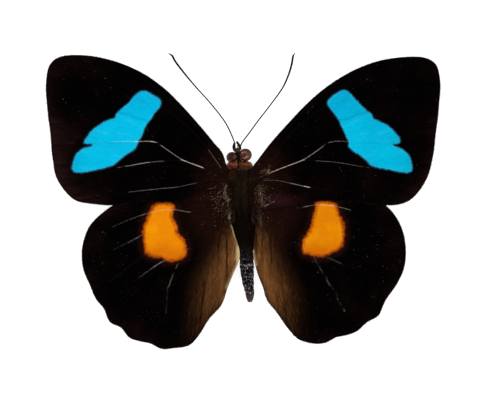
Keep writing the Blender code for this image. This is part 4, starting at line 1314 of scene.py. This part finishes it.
def abdomen(skin_material, scale_material, hair_material):
    """Overlapping rings, each a little fuller towards its rear edge, covered in flat scales."""
    sections = [ABDOMEN_FRONT]
    last = ABDOMEN_FRONT
    for ring in ABDOMEN_RINGS:
        for share, swell in ((0.10, -0.01), (0.35, 0.04), (0.70, 0.07), (0.93, 0.075), (0.99, 0.03)):
            forward, centre, half, middle = [a + (b - a) * share for a, b in zip(last, ring)]
            sections.append((forward, centre, half + swell, middle))
        sections.append(ring)
        last = ring
    rings = [cross_section(y, x, half, z - half, z + half, 40) for y, x, half, z in sections]
    verts, faces = skin(rings, ABDOMEN_ENDS)
    dress(add_mesh("abdomen_rings", verts, faces, [skin_material]), "abdomen_scales", "abdomen")

    roots, normals = scatter(verts, faces, NUMBER["abdomen"])
    count = len(roots)
    ways = normals * 0.20 + np.array([0.06, -1.0, 0.0]) + rng.normal(0.0, 0.10, (count, 3))
    rear = smooth_step((-6.2 - roots[:, 1]) / 2.0)
    dark = varied(HAIR["abdomen_dark"], count)
    grey = varied(HAIR["abdomen_grey"], count)
    tints = dark * (1.0 - rear[:, None]) + grey * rear[:, None]
    wave = np.cos(2.0 * np.pi * roots[:, 1] / 0.56 + 1.4 * np.sin(roots[:, 0] * 3.4 + 2.0 * roots[:, 1]))
    clump = np.sin(roots[:, 0] * 12.0 + 3.0 * np.sin(roots[:, 1] * 6.7)) > -0.1
    chance = np.where(wave > 0.30, 0.10 + 0.46 * clump, 0.03) * smooth_step((-8.0 - roots[:, 1]) / 1.2)
    chance = np.maximum(chance, 0.95 * np.exp(-((roots[:, 1] + 9.40) / 0.15) ** 2))
    chance = np.maximum(chance, 0.04 * rear)
    light = rng.random(count) < chance
    tints[light] = varied(HAIR["abdomen_light"], light.sum())
    tints[light] *= np.interp(roots[light, 1], (-9.25, -9.05), (1.0, 0.22))[:, None]
    end = roots[:, 1] < -14.0
    tints[end] = varied(HAIR["abdomen_tip"], end.sum())
    flake_verts, flake_faces, flake_tints = hair_mesh(
        roots, ways, (0.18, 0.32), (0.034, 0.058), tints, flat=0.2, taper=0.2, knees=(0.75,),
    )
    item = add_mesh(
        "abdomen_scales", flake_verts, flake_faces, [scale_material], tints=flake_tints, smooth=False,
    )
    dress(item, "abdomen_scales")

    roots, normals = scatter(
        verts, faces, NUMBER["abdomen_fur"],
        lambda centres, _: (centres[:, 1] > -7.2) * (centres[:, 2] > 1.4),
    )
    count = len(roots)
    ways = normals * 0.75 + np.array([0.0, -1.0, 0.0]) + rng.normal(0.0, 0.2, (count, 3))
    tints = varied(HAIR["abdomen_fur"], count)
    lengths = rng.uniform(0.35, 0.95, count) * (0.2 + 0.8 * smooth_step((roots[:, 1] + 8.2) / 3.0))
    fur = hair_mesh(roots, ways, lengths, (0.018, 0.030), tints, knees=())

    flanks = []
    for side in (-1, 1):
        number = NUMBER["flank"]
        forward = rng.uniform(-6.6, -1.2, number)
        centre = np.interp(forward, (-6.6, -1.2), (0.46, 0.2))
        half = np.interp(forward, (-6.6, -4.0, -1.2), (1.05, 1.38, 1.25))
        roots = np.column_stack([
            centre + side * half * rng.uniform(0.75, 1.1, number), forward, rng.uniform(1.9, 2.6, number)
        ])
        ways = swept_back(side, number, 1.3, 0.1)
        lengths = rng.uniform(0.5, 1.0, number) * (0.35 + 0.65 * smooth_step((forward + 7.6) / 3.0))
        tints = varied(HAIR["flank"], number)
        flanks.append(hair_mesh(roots, ways, lengths, (0.030, 0.050), tints, knees=()))

    number = NUMBER["abdomen_tip"]
    turn = rng.uniform(0.0, 2.0 * np.pi, number)
    forward = rng.uniform(-14.35, -13.75, number)
    spread = np.column_stack([np.cos(turn), np.zeros(number), np.sin(turn)])
    half = np.interp(forward, (-14.35, -13.75), (0.40, 0.55))
    roots = np.array([1.05, 0.0, 1.60]) + spread * half[:, None]
    roots[:, 1] = forward
    ways = spread * 0.30 + np.array([0.0, -1.0, 0.0]) + rng.normal(0.0, 0.12, (number, 3))
    tints = varied(HAIR["abdomen_tip"], number)
    brush = hair_mesh(roots, ways, (0.28, 0.46), (0.024, 0.040), tints, knees=())
    add_hair("abdomen_hair", "abdomen_scales", hair_material, fur, brush, *flanks)


def ball(columns, rows):
    """Points and faces of a round ball of radius 1, always in the same order."""
    turns = np.arange(columns) * 2.0 * np.pi / columns
    rings = []
    for level in np.arange(1, rows) * np.pi / rows:
        across = np.sin(level)
        height = np.full(columns, np.cos(level))
        rings.append(np.column_stack([across * np.cos(turns), across * np.sin(turns), height]))
    return skin(rings, [(0.0, 0.0, 1.0), (0.0, 0.0, -1.0)])


def placed(verts, matrix):
    matrix = np.array(matrix)
    return verts @ matrix[:3, :3].T + matrix[:3, 3]


def lobe_place(centre, half, tilt):
    return (
        Matrix.Translation(centre)
        @ Matrix.Rotation(radians(tilt[1]), 4, "Z")
        @ Matrix.Rotation(radians(tilt[0]), 4, "Y")
        @ Matrix.Diagonal((*half, 1.0))
    )


def furry_lobe(node, slot, materials, number, length, way, front_from=0.72, width=0.020):
    """A rounded lobe and its coat of hair, with another colour on the front."""
    verts, faces = ball(40, 24)
    verts = placed(verts, lobe_place(*LOBES[node]))
    dress(add_mesh(f"{node}_hide", verts, faces, [materials[0]]), slot, node)
    roots, normals = scatter(verts, faces, number)
    ways = normals * 0.5 + np.array(way) + rng.normal(0.0, 0.18, (number, 3))
    lengths = rng.uniform(0.6, 1.1, number) * length
    dark, light, fronts = LOBE_COATS[node]
    tints = varied((dark, 0.35, light, 2.0), number)
    # Painted highlight along each lobe's ridge, with painted shade in front of it and behind it
    ridge = (roots[:, 1] - LOBES[node][0][1]) / LOBES[node][1][1]
    tints *= (0.66 + 1.06 * np.exp(-((ridge - 0.20) / 0.40) ** 2))[:, None]
    # Painted shade in the seam between the two collar lobes
    seam = np.exp(-((roots[:, 0] - COLLAR_SEAM) / 0.27) ** 2)
    tints *= (1.0 - 0.82 * seam)[:, None]
    front = roots[:, 1] > LOBES[node][0][1] + front_from * LOBES[node][1][1]
    tints[front] = varied((fronts, 0.35), front.sum())
    widths = rng.uniform(0.7, 1.3, number) * width
    coat = hair_mesh(roots, ways, lengths, widths, tints, normals * -0.2 * length)
    add_hair(f"{node}_hair", slot, materials[1], coat)


def head(skin_material, hair_material, eye_material):
    place = Matrix.Translation(HEAD_CENTRE) @ Matrix.Rotation(radians(HEAD_TURN), 4, "Z")
    verts, faces = ball(56, 36)
    verts = verts * np.array(HEAD_HALF)
    verts[:, 0] = np.clip(verts[:, 0], -HEAD_CUT["left"], HEAD_CUT["right"])
    verts = placed(verts, place)
    dress(add_mesh("head_hide", verts, faces, [skin_material]), "head_hair", "head")
    roots, normals = scatter(verts, faces, NUMBER["head"], lambda _, normals: np.abs(normals[:, 0]) < 0.8)
    count = len(roots)
    ways = normals * 0.8 + np.array([0.0, 0.45, 0.1]) + rng.normal(0.0, 0.25, (count, 3))
    tints = varied(HAIR["head"], count)
    front = roots[:, 1] > 7.2
    tints[front] = varied(HAIR["face"], front.sum())
    lengths = np.where(front, rng.uniform(0.20, 0.48, count), rng.uniform(0.12, 0.30, count))
    coat = hair_mesh(roots, ways, lengths, (0.014, 0.026), tints)
    add_hair("head_hair", "head_hair", hair_material, coat)

    for name, side in SIDES:
        out, forward, up, radius = EYES[name]
        verts, faces = ball(56, 36)
        # A dark rim round each eye's edge, and painted shade that deepens towards one side
        rim = smooth_step((np.hypot(verts[:, 0], verts[:, 1]) - 0.74) / 0.20)
        turned = verts @ EYE_SHADE[name]
        rim = np.maximum(rim, 0.86 * smooth_step((turned - 0.05) / 0.75))
        verts = verts * (radius, radius, radius * EYE_STRETCH) + np.array([out, forward, up])
        near = side * (HEAD_CUT[name] + 0.03)
        verts[:, 0] = np.maximum(verts[:, 0], near) if side > 0 else np.minimum(verts[:, 0], near)
        item = add_mesh(f"eye_{name}_facets", placed(verts, place), faces, [eye_material], {"rim": rim})
        dress(item, "eye_brown", f"eye_{name}")


def thin_part(name, node, route, profile, slot, material, tint, step=0.08, sides=14):
    """A slender part along a smooth route, its radius given along its length."""
    path = smooth_line(route, step)
    along = np.concatenate([[0.0], np.cumsum(np.linalg.norm(np.diff(path, axis=0), axis=1))])
    verts, faces = tube(path, profile(along, along[-1]), sides)
    dress(add_mesh(name, verts, faces, [material], tints=np.tile(tint, (len(verts), 1))), slot, node)
    return path


def antenna_profile(along, length):
    """Fine segments, a slim club that thickens slowly, and a narrow tip."""
    swell = smooth_step((along - (length - 8.0)) / 6.8)
    narrow = 1.0 - 0.6 * smooth_step((along - (length - 0.7)) / 0.7)
    radius = (0.102 + (0.158 - 0.102) * swell) * narrow
    return radius * (0.94 + 0.10 * np.abs(np.sin(along * np.pi / 0.36)) ** 0.5)


def palp_profile(along, length):
    return np.interp(along / length, (0.0, 0.33, 0.66, 1.0), (0.18, 0.19, 0.13, 0.05))


def leg_profile(thick, thin):
    def profile(along, length):
        joints = np.abs(along[:, None] / length - np.array([0.30, 0.58, 0.80])).min(1)
        return (thick + (thin - thick) * along / length) * (1.0 - 0.28 * np.exp(-(joints / 0.02) ** 2))
    return profile


def proboscis_profile(along, length):
    return 0.072 + (0.035 - 0.072) * along / length


def slender_parts(horn_material, hair_material):
    for name, side in SIDES:
        thin_part(f"antenna_{name}_rings", f"antenna_{name}", ANTENNAE[name], antenna_profile,
                  "horn_black", horn_material, ANTENNA_BLACK)
        path = thin_part(f"palp_{name}_hide", f"palp_{name}", PALPS[name], palp_profile,
                         "head_hair", horn_material, PALP_BROWN)
        number = NUMBER["palp"]
        picks = rng.integers(0, len(path) - 4, number)
        spread = units(rng.normal(0.0, 1.0, (number, 3)))
        ways = units(path[picks + 3] - path[picks]) + spread * 0.40
        tints = varied(HAIR["palp"], number)
        coat = hair_mesh(path[picks] + spread * 0.12, ways, (0.16, 0.34), (0.014, 0.024), tints)
        add_hair(f"palp_{name}_hair", "head_hair", hair_material, coat)
        for kind, radii in LEG_RADII.items():
            route = [(side * x, y, z) for x, y, z in LEG_ROUTES[kind]]
            thin_part(f"{kind}_{name}_segments", f"{kind}_{name}", route, leg_profile(*radii),
                      "horn_black", horn_material, LEG_BROWN, step=0.10, sides=12)
    outer, inner = PROBOSCIS_SIZE
    share = np.linspace(0.0, 1.0, 60)
    turn = radians(80.0) - 2.0 * np.pi * PROBOSCIS_TURNS * share
    radius = outer + (inner - outer) * share
    spiral = PROBOSCIS_CENTRE + np.column_stack([0.0 * turn, radius * np.cos(turn), radius * np.sin(turn)])
    thin_part("proboscis_coil", "proboscis", np.vstack([[MOUTH], spiral]), proboscis_profile,
              "horn_black", horn_material, PROBOSCIS_BROWN, step=0.06, sides=10)


# Stage, light and camera

def stage():
    paint = Paint("floor_white", 0.9, specular=0.0)
    paint.colour(paint.mix(paint.noise(0.4, 3.0), *FLOOR_GREYS))
    paint.shader.inputs["Emission Color"].default_value = (1.0, 1.0, 1.0, 1.0)
    paint.shader.inputs["Emission Strength"].default_value = FLOOR_GLOW
    turns = ((-1, -1), (1, -1), (1, 1), (-1, 1))
    corners = [(FLOOR_HALF * x, FLOOR_HALF * y, FLOOR_LEVEL) for x, y in turns]
    add_mesh("floor", corners, [(0, 1, 2, 3)], [paint.material], smooth=False)

    scene = bpy.context.scene
    scene.view_settings.view_transform = "Standard"
    world = bpy.data.worlds.new("studio")
    world.use_nodes = True
    background = world.node_tree.nodes["Background"]
    background.inputs["Color"].default_value = (1.0, 1.0, 1.0, 1.0)
    background.inputs["Strength"].default_value = SKY
    scene.world = world
    for name, (place, power, size) in LIGHTS.items():
        data = bpy.data.lights.new(name, "AREA")
        data.energy = power
        data.size = size
        light = bpy.data.objects.new(name, data)
        light.location = place
        light.rotation_euler = Vector(place).to_track_quat("Z", "Y").to_euler()
        scene.collection.objects.link(light)


def camera():
    """Straight above the insect, with its head up the picture."""
    data = bpy.data.cameras.new("camera")
    data.sensor_width = 36.0
    data.lens = data.sensor_width * CAMERA_DISTANCE * PIXELS_PER_MM / PICTURE[0]
    data.clip_start = 0.01
    item = bpy.data.objects.new("camera", data)
    item.location = (
        (PICTURE[0] / 2 - BOX_MIDDLE_PIXEL[0]) / PIXELS_PER_MM * MM,
        (BOX_MIDDLE_PIXEL[1] - PICTURE[1] / 2) / PIXELS_PER_MM * MM,
        (CAMERA_DISTANCE + WING_LEVEL) * MM,
    )
    bpy.context.scene.collection.objects.link(item)
    bpy.context.scene.camera = item


def build():
    tops = {"forewing": forewing_paint(), "hindwing": hindwing_paint()}
    under_material = underside_paint()
    vein_material = vein_paint()
    hair_material = tinted_paint("fine_hair", 0.85, 0.008)
    flake_material = tinted_paint("abdomen_flakes", 0.65, 0.012)
    horn_material = tinted_paint("horn", 0.45, 0.12)
    body_skin = hide_paint("body_hide", *BODY_HIDE)
    abdomen_skin = hide_paint("abdomen_hide", *ABDOMEN_HIDE)
    collar_skin = hide_paint("collar_hide", *COLLAR_HIDE)
    eye_material = eye_paint()

    for name, side in SIDES:
        for kind in ("forewing", "hindwing"):
            rim = wing(kind, name, side, [tops[kind], under_material, vein_material])
            wing_hair(kind, name, side, rim, hair_material)
    collar, furred = (collar_skin, hair_material), (body_skin, hair_material)
    for name, side in SIDES:
        furry_lobe(f"collar_lobe_{name}", "collar_rust", collar, NUMBER["collar"], 0.32, (0.0, 0.08, 0.1))
    for name, side in SIDES:
        way = (0.15 * side, -1.0, -0.1)
        furry_lobe(f"shoulder_flap_{name}", "body_hair", furred, NUMBER["flap"], 0.70, way, 0.25)
    furry_lobe("neck", "body_hair", furred, NUMBER["neck"], 0.40, (0.0, 0.2, 0.0))
    thorax(body_skin, hair_material)
    abdomen(abdomen_skin, flake_material, hair_material)
    head(body_skin, hair_material, eye_material)
    slender_parts(horn_material, hair_material)


build()
stage()
camera()
